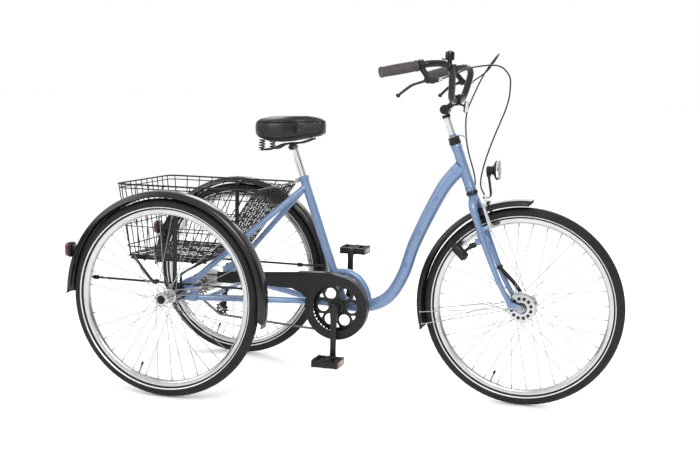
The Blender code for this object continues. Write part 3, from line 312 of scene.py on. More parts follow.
def add_turned(bm, profile, where, axis, steps, closed=False):
    """Turn a profile of (radius, height) about an axis."""
    matrix = facing(where, axis)
    angles = turns(steps)
    rows = []
    for radius, height in profile:
        if radius < 1e-7:
            rows.append([bm.verts.new(matrix @ Vector((0, 0, height)))])
        else:
            rows.append([bm.verts.new(matrix @ Vector((radius * math.cos(a), radius * math.sin(a), height)))
                    for a in angles])
    pairs = list(zip(rows, rows[1:]))
    if closed:
        pairs.append((rows[-1], rows[0]))
    for low, high in pairs:
        for n in range(steps):
            following = (n + 1) % steps
            if len(low) == 1 and len(high) == 1:
                continue
            if len(low) == 1:
                bm.faces.new((low[0], high[following], high[n]))
            elif len(high) == 1:
                bm.faces.new((low[n], low[following], high[0]))
            else:
                bm.faces.new((low[n], low[following], high[following], high[n]))


def add_block(bm, centre, size, axis=UP, start=None, bevel=0.0008, segments=2):
    """Box with its own axes and rounded edges."""
    made = bmesh.new()
    bmesh.ops.create_cube(made, size=1, matrix=facing(centre, axis, start) @ Matrix.Diagonal((*size, 1)))
    bmesh.ops.bevel(made, geom=made.edges[:], offset=bevel, segments=segments, affect="EDGES", profile=0.5)
    join_in(bm, made)


def join_in(bm, made):
    """Add one bmesh to another and free it."""
    mesh = bpy.data.meshes.new("joining")
    made.to_mesh(mesh)
    made.free()
    bm.from_mesh(mesh)
    bpy.data.meshes.remove(mesh)


def add_plate(bm, loops, thickness, where, bevel=0.0004):
    """Upright plate from closed outlines of (x, z) places; further loops are its windows."""
    curve = bpy.data.curves.new("plate", "CURVE")
    curve.dimensions = "2D"
    curve.fill_mode = "BOTH"
    curve.extrude = thickness / 2 - bevel
    curve.bevel_depth = bevel
    curve.offset = -bevel
    for loop in loops:
        spline = curve.splines.new("POLY")
        spline.points.add(len(loop) - 1)
        for point, (x, z) in zip(spline.points, loop):
            point.co = (x, z, 0, 1)
        spline.use_cyclic_u = True
    obj = bpy.data.objects.new("plate", curve)
    link(obj)
    bpy.context.view_layer.update()
    mesh = bpy.data.meshes.new_from_object(obj.evaluated_get(bpy.context.evaluated_depsgraph_get()))
    mesh.transform(facing(where, -ACROSS, FORWARD))
    bpy.data.objects.remove(obj)
    bpy.data.curves.remove(curve)
    made = bmesh.new()
    made.from_mesh(mesh)
    bpy.data.meshes.remove(mesh)
    bmesh.ops.remove_doubles(made, verts=made.verts, dist=0.00001)
    join_in(bm, made)


def arc(centre_x, centre_z, radius, start, end, steps):
    """Places round part of a circle, in degrees."""
    angles = [math.radians(start + (end - start) * n / steps) for n in range(steps + 1)]
    return [(centre_x + radius * math.cos(a), centre_z + radius * math.sin(a)) for a in angles]


def turns(count, offset=0):
    """Angles evenly round a circle."""
    return [math.tau * (n + offset) / count for n in range(count)]


def upright_way(angle):
    """Direction at an angle from straight ahead, in an upright plane."""
    return Vector((math.cos(angle), 0, math.sin(angle)))


def heading(route, number):
    """Direction of a route at one of its points."""
    return (route[min(len(route) - 1, number + 1)] - route[max(0, number - 1)]).normalized()


def circle(centre_x, centre_z, radius, steps):
    """Places round a whole circle."""
    return arc(centre_x, centre_z, radius, 0, 360 * (steps - 1) / steps, steps - 1)


def oval(centre, across, upward, width, height, steps=24, power=2.6):
    """Ring of places on a rounded box's outline, in the plane of two directions."""
    ring = []
    for a in turns(steps):
        c, s = math.cos(a), math.sin(a)
        ring.append(centre + across * math.copysign(abs(c) ** (2 / power), c) * width
                + upward * math.copysign(abs(s) ** (2 / power), s) * height)
    return ring


def mirrored(profile, middle=None):
    """Profile that goes up to a half-height, then on through its mirror image."""
    between = [] if middle is None else [(middle, 0)]
    return profile + between + [(radius, -height) for radius, height in reversed(profile)]


def add_hex(bm, where, axis, across_flats, height):
    """Six-sided nut or bolt head with its corners turned off."""
    radius = across_flats / math.sqrt(3)
    bevel = radius * 0.1
    add_turned(bm, [(0, 0), (radius - bevel, 0), (radius, bevel), (radius, height - bevel),
            (radius - bevel, height), (0, height)], where, axis, 6)


def add_washer(bm, inner, outer, height, where, axis, steps):
    """Flat ring, or a disc where the inner radius is 0."""
    profile = [(inner, 0), (outer, 0), (outer, height), (inner, height)]
    add_turned(bm, profile, where, axis, steps, closed=inner > 0)


def add_bolt(bm, where, axis, across_flats, height):
    """Bolt head on its washer."""
    add_washer(bm, 0, across_flats * 0.82, 0.001, where, axis, 20)
    add_hex(bm, where + axis.normalized() * 0.001, axis, across_flats, height)


def piece(name, bm, material, body, replaced=(), sharp=35):
    """Turn a bmesh into a piece that rides on a body."""
    bmesh.ops.recalc_face_normals(bm, faces=bm.faces)
    mesh = bpy.data.meshes.new(name)
    bm.to_mesh(mesh)
    bm.free()
    mesh.materials.append(material)
    mesh.shade_smooth()
    mesh.set_sharp_from_angle(angle=math.radians(sharp))
    obj = bpy.data.objects.new(name, mesh)
    link(obj)
    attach(obj, body)
    if replaced:
        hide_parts(*replaced)
    return obj


# Camera, light and floor --------------------------------------------------------------------
IMAGE_WIDTH = 700
CAMERA_FOCUS = 1093.0
CAMERA_PLACE = (1.5567, -3.5671, 1.0323)
CAMERA_TURN, CAMERA_DIP, CAMERA_ROLL = (math.radians(angle) for angle in (16.04, 7.154, 1.461))


def make_camera():
    """Camera at the photograph's viewing angle."""
    data = bpy.data.cameras.new("camera")
    data.sensor_width = 36
    data.lens = CAMERA_FOCUS * data.sensor_width / IMAGE_WIDTH
    camera = bpy.data.objects.new("camera", data)
    look = Vector((-math.sin(CAMERA_TURN) * math.cos(CAMERA_DIP),
            math.cos(CAMERA_TURN) * math.cos(CAMERA_DIP),
            -math.sin(CAMERA_DIP)))
    level = Vector((math.cos(CAMERA_TURN), math.sin(CAMERA_TURN), 0))
    upright = level.cross(look)
    x = level * math.cos(CAMERA_ROLL) + upright * math.sin(CAMERA_ROLL)
    y = upright * math.cos(CAMERA_ROLL) - level * math.sin(CAMERA_ROLL)
    turn = Matrix((x, y, -look)).transposed().to_4x4()
    camera.matrix_world = Matrix.Translation(place(*CAMERA_PLACE)) @ turn
    link(camera)
    bpy.context.scene.camera = camera


def add_light(name, where, target, size, power):
    """Soft square studio light."""
    data = bpy.data.lights.new(name, "AREA")
    data.size = size
    data.energy = power
    light = bpy.data.objects.new(name, data)
    light.location = where
    light.rotation_euler = (Vector(target) - Vector(where)).to_track_quat("-Z", "Y").to_euler()
    link(light)


def make_studio():
    """Pale floor under a bright sky, whose sides only reflect darker, and three soft lights."""
    world = bpy.data.worlds.new("studio")
    world.use_nodes = True
    nodes, links = world.node_tree.nodes, world.node_tree.links
    way = nodes.new("ShaderNodeTexCoord")
    split = nodes.new("ShaderNodeSeparateXYZ")
    links.new(way.outputs["Generated"], split.inputs["Vector"])
    path = nodes.new("ShaderNodeLightPath")
    aside = nodes.new("ShaderNodeMath")
    aside.operation = "ABSOLUTE"
    links.new(split.outputs["X"], aside.inputs[0])
    shade = None
    for source, begin, end, low, high in ((aside.outputs[0], 0.58, 0.82, 0.0, 1.0),
            (split.outputs["Y"], 0.05, 0.55, 1.0, 0.0),
            (split.outputs["Z"], 0.25, 0.6, 1.0, 0.0),
            (path.outputs["Is Camera Ray"], 0.0, 1.0, 1.0, 0.0)):
        fade = nodes.new("ShaderNodeMapRange")
        fade.interpolation_type = "SMOOTHSTEP"
        for socket, value in (("From Min", begin), ("From Max", end), ("To Min", low), ("To Max", high)):
            fade.inputs[socket].default_value = value
        links.new(source, fade.inputs["Value"])
        if shade is None:
            shade = fade.outputs["Result"]
        else:
            both = nodes.new("ShaderNodeMath")
            both.operation = "MULTIPLY"
            links.new(shade, both.inputs[0])
            links.new(fade.outputs["Result"], both.inputs[1])
            shade = both.outputs[0]
    ramp = nodes.new("ShaderNodeValToRGB")
    ramp.color_ramp.elements[0].color = (1.0, 1.0, 1.0, 1)
    ramp.color_ramp.elements[1].color = (0.16, 0.16, 0.165, 1)
    links.new(shade, ramp.inputs["Fac"])
    links.new(ramp.outputs["Color"], nodes["Background"].inputs["Color"])
    bpy.context.scene.world = world
    bpy.context.scene.view_settings.view_transform = "Standard"
    add_light("key", (1.2, -3.2, 3.4), (0, 0, 0.5), 2.0, 110)
    add_light("fill", (-3.0, -1.6, 2.2), (0, 0, 0.5), 2.0, 30)
    add_light("back", (-0.5, 3.2, 3.0), (0, 0, 0.5), 2.4, 70)
    bm = bmesh.new()
    bmesh.ops.create_grid(bm, x_segments=1, y_segments=1, size=90)
    mesh = bpy.data.meshes.new("floor")
    bm.to_mesh(mesh)
    bm.free()
    pale = finish("pale_floor", (0.94, 0.94, 0.94), 0.55, mottle=0.004, patch=1.5, grain=60.0,
            depth=0.00005)
    glow = pale.node_tree.nodes["Principled BSDF"]
    glow.inputs["Emission Color"].default_value = (1.0, 1.0, 1.0, 1)
    glow.inputs["Emission Strength"].default_value = 0.1
    mesh.materials.append(pale)
    floor = bpy.data.objects.new("floor", mesh)
    floor.location = (0, 0, -0.0005)
    link(floor)


make_camera()
make_studio()


# Wheels -------------------------------------------------------------------------------------
SPOKES = 36
RIM_SEAT = 0.2775
VALVE_ANGLE = math.radians(250)
TREAD_STEPS, TREAD_GROOVE, TREAD_LANE = 360, 0.0013, 0.0036
HUB_HOLES, HUB_HOLE_CIRCLE = 18, 0.0435
STRIPE_PLACES = ((0.3, 0.0189), (0.3032, 0.0218), (0.3034, 0.0208), (0.3002, 0.0179))
TYRE_HALF = [(0.2958, 0.0112), (0.2985, 0.016), (0.3025, 0.0208), (0.3075, 0.0233), (0.3125, 0.0232),
        (0.317, 0.0216), (0.321, 0.0187), (0.3243, 0.015), (0.3268, 0.011), (0.3286, 0.007),
        (0.3297, 0.003)]
RIM_PROFILE = [(0.2958, 0.0118), (0.2958, 0.01), (0.2885, 0.0096), (0.2885, -0.0096), (0.2958, -0.01),
        (0.2958, -0.0118), (0.2945, -0.0128), (0.286, -0.0126), (0.281, -0.0105), (0.2772, -0.006),
        (0.2765, 0.0), (0.2772, 0.006), (0.281, 0.0105), (0.286, 0.0126), (0.2945, 0.0128)]


def round_wheel(centre, radius, angle, y):
    """Place in a wheel, from its radius, angle and place across."""
    return centre + Vector((radius * math.cos(angle), y, radius * math.sin(angle)))


def make_tyre(word, body):
    """Tyre with grooved tread blocks, and the reflective stripe on each side of it."""
    profile = TYRE_HALF + [(WHEEL_RADIUS, 0.0)] + [(r, -y) for r, y in reversed(TYRE_HALF)]
    sections = []
    for step, angle in enumerate(turns(TREAD_STEPS)):
        section = []
        for radius, y in profile:
            lane = round(abs(y) / TREAD_LANE)
            on_tread = 0.002 < abs(y) < 0.018
            cut = on_tread and ((step + lane) % 4 == 0 or lane == 2)
            section.append(round_wheel(WHEEL[word], radius - (TREAD_GROOVE if cut else 0), angle, y))
        sections.append(section)
    bm = bmesh.new()
    add_loft(bm, sections, closed=True)
    piece(f"tread_{word}", bm, TREAD, body, [f"tyre_{word}"], sharp=28)
    bm = bmesh.new()
    for side in BOTH:
        stripe = [(radius, side * y) for radius, y in STRIPE_PLACES]
        add_turned(bm, stripe, WHEEL[word], ACROSS, 144, closed=True)
    piece(f"tyre_stripe_{word}", bm, STRIPE, body)


def make_rim(word, body):
    """Hollow rim with its spoke nipples and tyre valve."""
    bm = bmesh.new()
    add_turned(bm, RIM_PROFILE, WHEEL[word], ACROSS, 144, closed=True)
    piece(f"wheel_rim_{word}", bm, ALLOY, body, [f"rim_{word}"])
    bm = bmesh.new()
    for number, angle in enumerate(turns(SPOKES, 0.5)):
        y = 0.003 if number % 2 else -0.003
        add_tube(bm, [round_wheel(WHEEL[word], 0.2785, angle, y), round_wheel(WHEEL[word], 0.266, angle,
                y)],
                0.0019, 6)
    add_tube(bm, [round_wheel(WHEEL[word], 0.279, VALVE_ANGLE, 0), round_wheel(WHEEL[word], 0.248,
            VALVE_ANGLE, 0)], 0.003, 12)
    piece(f"nipples_{word}", bm, SPOKE_STEEL, body)
    bm = bmesh.new()
    add_tube(bm, [round_wheel(WHEEL[word], 0.25, VALVE_ANGLE, 0), round_wheel(WHEEL[word], 0.238,
            VALVE_ANGLE, 0)], 0.004, 10)
    piece(f"valve_cap_{word}", bm, BLACK_MOULDED, body)


def make_spokes(word, body, flange_radius, flange_y, cross):
    """Crossed spokes from the hub's flanges to the rim."""
    bm = bmesh.new()
    for number, angle in enumerate(turns(SPOKES, 0.5)):
        side = 1 if number % 2 else -1
        lead = cross if number % 4 < 2 else -cross
        start = round_wheel(WHEEL[word], flange_radius, angle + math.radians(lead), side * flange_y)
        end = round_wheel(WHEEL[word], RIM_SEAT, angle, side * 0.003)
        elbow = start + ACROSS * side * 0.0022
        add_tube(bm, [start - ACROSS * side * 0.003, elbow, elbow.lerp(end, 0.03) - ACROSS * side * 0.0004,
                end],
                0.0011, 6)
    piece(f"spokes_{word}", bm, SPOKE_STEEL, body)


def make_rear_hub(side, word, body):
    """Rear hub with its two flanges, wheel nut and dust cap."""
    centre = WHEEL[word]
    bm = bmesh.new()
    profile = [(0.009, 0.0332), (0.014, 0.0332), (0.0148, 0.0322), (0.0225, 0.0318), (0.024, 0.031),
            (0.024, 0.0296),
            (0.0225, 0.0288), (0.017, 0.0276), (0.015, 0.024), (0.0143, 0.01)]
    add_turned(bm, mirrored(profile), centre, ACROSS, 48, closed=True)
    piece(f"hub_shell_{word}", bm, ALLOY, body, [f"hub_{word}"])
    make_spokes(word, body, 0.0205, 0.0303, 56)
    bm = bmesh.new()
    out = ACROSS * side
    face = centre + out * 0.0334
    add_turned(bm, [(0, 0.0), (0.0142, 0.0), (0.0142, 0.003), (0.013, 0.0052), (0, 0.0052)],
            face, out, 36)
    piece(f"hub_cap_{word}", bm, BLACK_PAINT, body)
    bm = bmesh.new()
    add_hex(bm, face + out * 0.005, out, 0.019, 0.006)
    add_turned(bm, [(0, 0), (0.006, 0), (0.0056, 0.0042), (0.003, 0.006), (0, 0.0064)], face + out * 0.0102,
            out, 24)
    piece(f"wheel_nut_{word}", bm, BLACK_PAINT, body)


def make_front_hub():
    """Large-flange front hub."""
    bm = bmesh.new()
    profile = [(0.0064, 0.0338), (0.02, 0.0336), (0.03, 0.0322), (0.0425, 0.0316), (0.0462, 0.0313),
            (0.047, 0.0304),
            (0.047, 0.028), (0.046, 0.027), (0.042, 0.0262), (0.0402, 0.0245), (0.0395, 0.01)]
    add_turned(bm, mirrored(profile), FRONT_AXLE, ACROSS, 64, closed=True)
    for side in BOTH:
        for angle in turns(HUB_HOLES, 0.25):
            hole = round_wheel(FRONT_AXLE, HUB_HOLE_CIRCLE, angle, side * 0.0312)
            add_turned(bm, [(0, 0), (0.0016, 0), (0.0016, 0.0012), (0, 0.0014)], hole, ACROSS * side, 8)
    piece("hub_shell_front", bm, ALLOY, "front_wheel", ["hub_front"])
    make_spokes("front", "front_wheel", HUB_HOLE_CIRCLE, 0.0292, 38)


def make_wheels():
    """Three wheels: tyres, rims, hubs and spokes; the rear axle shafts are made with the axle bearings."""
    for side, word in SIDES:
        body = f"rear_wheel_{word}"
        make_tyre(f"rear_{word}", body)
        make_rim(f"rear_{word}", body)
        make_rear_hub(side, f"rear_{word}", body)
    make_tyre("front", "front_wheel")
    make_rim("front", "front_wheel")
    make_front_hub()


make_wheels()


# Frame --------------------------------------------------------------------------------------
def flat(points):
    """Places in the middle plane from (x, z) pairs."""
    return [place(x, 0, z) for x, z in points]


def add_weld(bm, centre, axis, radius, width=0.003):
    """Bead of weld round a tube, in many small ripples."""
    matrix = facing(centre, axis)
    steps = 64
    sections = []
    for number, a in enumerate(turns(steps)):
        ripple = 0.0004 * math.sin(a * 16) + 0.0003 * noise.noise(centre * 40 + Vector((number * 0.7, 0,
                0)))
        out = Vector((math.cos(a), math.sin(a), 0))
        ring = []
        for b in turns(8):
            ring.append(matrix @ (out * (radius + (width * 0.55 + ripple) * math.cos(b))
                    + UP * (width + ripple) * math.sin(b)))
        sections.append(ring)
    add_loft(bm, sections, closed=True)


def make_frame_tubes():
    """Main tube, arch, seat tube, head tube, stays, cross tube, crank shell and axle plates."""
    bm = bmesh.new()
    main = smooth_route(flat([(0.505, CRANK_AXIS.z), (0.6, 0.291), (0.674, 0.328), (0.724, 0.41),
            (0.763, 0.527), (0.846, 0.702), (0.908, 0.783)]), 10)
    add_tube(bm, main, 0.0215, 32, lambda t: 1 + 0.12 * max(0, t - 0.6) / 0.4)
    arch = smooth_route(flat([(0.474, 0.4005), (0.53, 0.401), (0.57, 0.38), (0.597, 0.338),
            (0.606, 0.292)]), 8)
    add_tube(bm, arch, 0.0127, 24)
    add_rod(bm, on_seat(-0.33), on_seat(0.1315), 0.0148, 32)
    add_turned(bm, [(0.0139, 0.0), (0.017, 0.0), (0.0184, 0.002), (0.0184, 0.013), (0.0172, 0.0165),
            (0.017, 0.1435), (0.0184, 0.147), (0.0184, 0.158), (0.017, HEAD_LENGTH), (0.0139, HEAD_LENGTH)],
            HEAD_FOOT, HEAD_UP, 48, closed=True)
    add_rod(bm, CRANK_AXIS - ACROSS * 0.034, CRANK_AXIS + ACROSS * 0.034, 0.0225, 40)
    add_rod(bm, place(CROSS_TUBE_X, -0.185, CROSS_TUBE_Z), place(CROSS_TUBE_X, 0.185, CROSS_TUBE_Z), 0.008,
            20)
    for side in BOTH:
        top = on_seat(0.096) + ACROSS * side * 0.004
        foot = place(0.035, side * 0.209, 0.364)
        add_tube(bm, [top, foot], 0.01, 20)
        stay = smooth_route([place(0.5, side * 0.016, 0.292), place(0.4, side * 0.026, 0.296),
                place(0.31, side * 0.07, 0.301), place(0.035, side * 0.211, 0.315)], 8)
        add_tube(bm, stay, 0.011, 20)
        outline = [(-0.024, 0.306), (0.058, 0.302), (0.062, 0.372), (0.04, 0.388), (-0.024, 0.352)]
        hole = circle(0.03, 0.338, 0.0075, 16)
        add_plate(bm, [outline, hole], 0.006, place(0, side * 0.215, 0))
    piece("frame_tubes", bm, PAINT, "frame", ["main_frame"])


def make_frame_welds():
    """Painted weld beads where the tubes meet."""
    bm = bmesh.new()
    main_start = place(0.532, 0, CRANK_AXIS.z)
    add_weld(bm, main_start, FORWARD, 0.0212, 0.0024)
    add_weld(bm, on_seat(-0.306), SEAT_UP, 0.0146)
    add_weld(bm, place(0.4905, 0, 0.401), FORWARD, 0.0126, 0.0022)
    add_weld(bm, place(0.604, 0, 0.312), Vector((0.15, 0, -1)), 0.0126, 0.0022)
    add_weld(bm, place(0.8925, 0, 0.765), Vector((0.62, 0, 0.81)), 0.0238, 0.0026)
    for side in BOTH:
        add_weld(bm, place(0.358, side * 0.012, 0.68), Vector((0.7, -side * 0.43, 0.69)), 0.01, 0.002)
        add_weld(bm, place(0.048, side * 0.201, 0.377), Vector((0.66, -side * 0.4, 0.64)), 0.01, 0.002)
        add_weld(bm, place(0.056, side * 0.201, 0.314), Vector((0.89, -side * 0.46, -0.05)), 0.011, 0.002)
        add_weld(bm, place(0.486, side * 0.018, 0.2925), Vector((1, -side * 0.1, 0)), 0.011, 0.002)
        add_weld(bm, place(CROSS_TUBE_X, side * 0.178, CROSS_TUBE_Z), ACROSS, 0.0082, 0.0018)
    piece("frame_welds", bm, WELD_PAINT, "frame", sharp=60)


def make_headset():
    """Two bearing cups, the crown race and the lock nut with its washer."""
    bm = bmesh.new()
    lower = [(0.0135, -0.013), (0.0185, -0.013), (0.02, -0.011), (0.0203, -0.006), (0.019, -0.0035),
            (0.0178, -0.0005), (0.0135, -0.0005)]
    upper = [(0.0135, 0.1605), (0.0178, 0.1605), (0.019, 0.1635), (0.0203, 0.166), (0.02, 0.1705),
            (0.0186, 0.172),
            (0.0186, 0.1732), (0.0196, 0.174), (0.0196, 0.177), (0.0135, 0.177)]
    add_turned(bm, lower, HEAD_FOOT, HEAD_UP, 48, closed=True)
    add_turned(bm, upper, HEAD_FOOT, HEAD_UP, 48, closed=True)
    add_turned(bm, [(0.0135, 0.0), (0.018, 0.0), (0.0192, 0.001), (0.0192, 0.007), (0.018, 0.0084),
            (0.0135, 0.0084)],
            on_head(0.1776), HEAD_UP, 6, closed=True)
    piece("headset_cups", bm, BLACK_PAINT, "frame", ["headset_cup_upper",
            "headset_cup_lower"])


def make_seat_clamp():
    """Pinch clamp with its slot ears, bolt and nut."""
    bm = bmesh.new()
    centre = on_seat(SEAT_CLAMP_AT)
    add_turned(bm, mirrored([(0.0151, 0.007), (0.0174, 0.007), (0.0184, 0.0058)]), centre, SEAT_UP, 40,
            closed=True)
    ears = centre + SEAT_BACK * 0.0222
    for side in BOTH:
        add_block(bm, ears + ACROSS * side * 0.0048, (0.013, 0.006, 0.012), SEAT_UP, SEAT_BACK, 0.0012)
    piece("saddle_post_clamp", bm, PAINT, "frame", ["seat_clamp"])
    bm = bmesh.new()
    bolt = ears + SEAT_BACK * 0.001
    add_rod(bm, bolt - ACROSS * 0.0085, bolt + ACROSS * 0.0085, 0.0028, 16)
    add_bolt(bm, bolt + ACROSS * 0.0079, ACROSS, 0.009, 0.004)
    add_bolt(bm, bolt - ACROSS * 0.0079, -ACROSS, 0.009, 0.0045)
    piece("saddle_clamp_bolt", bm, ZINC, "frame")


def make_axle_bearings():
    """Bearing blocks on the axle plates, each with its bolts and seals."""
    for side, word in SIDES:
        bm = bmesh.new()
        centre = REAR_AXLE + ACROSS * side * 0.2495
        add_loft(bm, [oval(centre + ACROSS * y, FORWARD, UP, size, size, 40, 4.0)
                for y, size in ((-0.0305, 0.0195), (-0.029, 0.0212), (-0.02, 0.0225), (0.02, 0.0225),
                (0.029, 0.0212), (0.0305, 0.0195))])
        piece(f"bearing_block_{word}", bm, BLACK_PAINT, "frame", [f"axle_bearing_{word}"])
        bm = bmesh.new()
        out = ACROSS * side
        for x in (-0.0155, 0.0155):
            for z in (-0.0155, 0.0155):
                add_bolt(bm, centre + out * 0.03 + FORWARD * x + UP * z, out, 0.008, 0.0032)
        add_turned(bm, [(0.0089, 0.0), (0.0118, 0.0), (0.0118, 0.0014), (0.0108, 0.0022), (0.0089, 0.0022)],
                centre + out * 0.0303, out, 32, closed=True)
        piece(f"bearing_bolts_{word}", bm, ZINC, "frame")
        bm = bmesh.new()
        inner = REAR_AXLE + ACROSS * (0.03 + side * 0.001)
        add_rod(bm, inner, REAR_AXLE + out * 0.369, 0.0085, 32)
        piece(f"half_axle_{word}", bm, ZINC, f"rear_wheel_{word}", [f"axle_shaft_{word}"])


def make_cable_guides():
    """Small guides brazed on the main tube."""
    bm = bmesh.new()
    for x, z in ((0.736, 0.445), (0.776, 0.558), (0.834, 0.674)):
        centre = place(x, -0.0225, z)
        add_turned(bm, mirrored([(0.0022, -0.005), (0.004, -0.005)], 0.0044),
                centre - ACROSS * 0.0012, Vector((0.42, 0, 0.91)), 20, closed=True)
    piece("cable_guides", bm, WELD_PAINT, "frame")


make_frame_tubes()
make_frame_welds()
make_headset()
make_seat_clamp()
make_axle_bearings()
make_cable_guides()


# Fenders, their carriers and the rear lamps ---------------------------------------------------
FENDER_HALF = [(0.3352, 0.0304), (0.3358, 0.0312), (0.337, 0.031), (0.3385, 0.0301), (0.342, 0.0292),
        (0.346, 0.0276),
        (0.35, 0.025), (0.3532, 0.0205), (0.355, 0.013), (0.3557, 0.006)]
FENDER_SHELL = 0.0016
FENDER_CROWN = 0.3558


def fender_section(round_off):
    """Closed ring of (radius, across) round a fender's shell, flatter towards its ends."""
    outer = FENDER_HALF + [(FENDER_CROWN, 0.0)] + [(r, -y) for r, y in reversed(FENDER_HALF)]
    inner = []
    for radius, y in outer:
        slope = abs(y) / FENDER_HALF[0][1]
        inner.append((radius - FENDER_SHELL * (1 - slope ** 3), y - math.copysign(FENDER_SHELL * slope ** 2,
                y)))
    ring = outer + list(reversed(inner))
    return [(FENDER_CROWN - (FENDER_CROWN - radius) * round_off, y) for radius, y in ring]


def make_fender(name, axle, first, last, body, replaced, rounded=5.0):
    """Mudguard with a rolled edge and rounded ends, between two angles from straight ahead."""
    steps = round(abs(last - first) * 0.75)
    sections = []
    for step in range(steps + 1):
        angle = first + (last - first) * step / steps
        to_end = min(angle - first, last - angle) / rounded
        share = 1.0 if to_end >= 1 else 0.45 + 0.55 * math.sqrt(max(0, 1 - (1 - to_end) ** 2))
        turn = math.radians(angle)
        sections.append([round_wheel(axle, radius, turn, y) for radius, y in fender_section(share)])
    bm = bmesh.new()
    add_loft(bm, sections)
    piece(name, bm, BLACK_GLOSS, body, [replaced], sharp=40)


def add_rivet(bm, where, out, radius=0.0045):
    """Domed rivet head."""
    add_turned(bm, [(0, 0), (radius, 0), (radius * 0.94, 0.001), (radius * 0.6, 0.0022), (0, 0.0026)],
            where, out, 16)


def make_rear_fenders():
    """Rear fenders with their posts, level bars, end blocks and rivets."""
    for side, word in SIDES:
        axle = WHEEL[f"rear_{word}"]
        make_fender(f"mudguard_rear_{word}", axle, -9, 181, "frame", f"rear_fender_{word}")
        inner, reach = side * 0.2725, side * 0.295
        across = ACROSS * side
        bm = bmesh.new()
        for end in BOTH:
            bend = smooth_route([place(end * 0.262, inner, CARRIER_Z), place(end * 0.3, inner, CARRIER_Z),
                    place(end * 0.322, side * 0.284, CARRIER_Z), place(end * 0.344, reach, CARRIER_Z)], 4)
            add_tube(bm, bend, 0.004, 12)
        add_rod(bm, place(-0.264, inner, CARRIER_Z), place(0.264, inner, CARRIER_Z), 0.004, 16)
        post = smooth_route([place(POST_X, inner, 0.366), place(POST_X, inner, 0.45),
                place(POST_X, inner, 0.64),
                place(POST_X, side * 0.279, 0.666), place(POST_X, side * 0.2985, 0.672)], 5)
        sections = []
        for number, point in enumerate(post):
            flat_way = FORWARD.cross(heading(post, number))
            sections.append(oval(point, FORWARD, flat_way, 0.0078, 0.0028, 16, 3.5))
        add_loft(bm, sections)
        add_block(bm, place(POST_X, side * 0.266, 0.3645), (0.03, 0.022, 0.0105), bevel=0.0018)
        for x in (-0.286, 0.262):
            add_block(bm, place(x, inner, CARRIER_Z), (0.02, 0.009, 0.014), bevel=0.002)
        piece(f"mudguard_carrier_{word}", bm, BLACK_PAINT, "frame",
                [f"fender_carrier_{word}"])
        bm = bmesh.new()
        add_bolt(bm, place(POST_X, side * 0.266, 0.3696), UP, 0.008, 0.004)
        for end in BOTH:
            add_rivet(bm, place(end * 0.344, side * 0.2996, CARRIER_Z), -across)
            add_rivet(bm, place(end * 0.286, inner - side * 0.0045, CARRIER_Z), -across, 0.003)
        for angle in (84, 92):
            out = upright_way(math.radians(angle))
            add_rivet(bm, axle + out * (FENDER_CROWN - 0.0012) - across * 0.008, out)
        piece(f"mudguard_rivets_{word}", bm, DARK_STEEL, "frame")
        make_rear_lamp(side, word, axle)
        make_mudflap(word, axle)


def make_mudflap(word, axle):
    """Short rubber flap under the front end of a rear fender."""
    bm = bmesh.new()
    sections = []
    for angle, width in ((-4, 0.0235), (-9, 0.0235), (-11, 0.0235), (-11.8, 0.0215)):
        turn = math.radians(angle)
        sections.append([round_wheel(axle, radius, turn, y * width)
                for radius, y in ((0.3515, 1.0), (0.353, 0.5), (0.3535, 0.0), (0.353, -0.5), (0.3515, -1.0),
                (0.3495, -1.0), (0.3508, -0.5), (0.3513, 0.0), (0.3508, 0.5), (0.3495, 1.0))])
    add_loft(bm, sections)
    piece(f"mudflap_{word}", bm, FLAP, "frame")


LAMP_Z = 0.47
LAMP_DEPTH = 0.023
LAMP_FOOT_ANGLE = 157
LAMP_HALF_Y, LAMP_HALF_Z = 0.0212, 0.0243


def make_rear_lamp(side, word, axle):
    """Rear lamp: flat dark housing on a short foot, ribbed red lens and a round reflector."""
    back = CAD_BOX[0][0]
    front = back + LAMP_DEPTH
    centre_y, centre_z = side * HALF_TRACK, LAMP_Z
    bm = bmesh.new()
    add_loft(bm, [oval(Vector((x, centre_y, centre_z)), ACROSS, UP, width, height, 36, 3.6)
            for x, width, height in ((front, 0.017, 0.02), (front - 0.002, 0.0205, 0.0235),
            (front - 0.0045, 0.0222, 0.0254), (front - 0.0108, 0.0226, 0.0257),
            (front - 0.0114, 0.0216, 0.0247))])
    out = upright_way(math.radians(LAMP_FOOT_ANGLE))
    rounded = [oval(axle + out * r, ACROSS, ACROSS.cross(out), half, 0.0125, 24, 4.0)
            for r, half in ((0.3562, 0.015), (0.358, 0.0142), (0.36, 0.013), (0.374, 0.013))]
    add_loft(bm, rounded)
    piece(f"lamp_housing_{word}", bm, BLACK_MOULDED, "frame", [f"rear_light_{word}"])
    bm = bmesh.new()
    add_loft(bm, [oval(Vector((x, centre_y, centre_z)), ACROSS, UP,
            LAMP_HALF_Y * size, LAMP_HALF_Z * size, 36, 3.6)
            for x, size in ((front - 0.011, 1.0), (front - 0.019, 0.985), (back + 0.001, 0.93),
            (back, 0.84))])
    for number in range(7):
        z = centre_z + 0.017 - number * 0.0034
        add_block(bm, Vector((back + 0.0012, centre_y, z)), (0.0024, 0.033, 0.0011), bevel=0.0003,
                segments=1)
    piece(f"lamp_lens_{word}", bm, RED_LENS, "frame")
    bm = bmesh.new()
    add_turned(bm, [(0, 0), (0.0068, 0), (0.0068, 0.0012), (0.0058, 0.0018), (0, 0.0018)],
            Vector((back + 0.0006, centre_y, centre_z - 0.013)), -FORWARD, 24)
    piece(f"lamp_reflector_{word}", bm, CLEAR, "frame")


STAY_ANGLES = (193.5, 186.5)


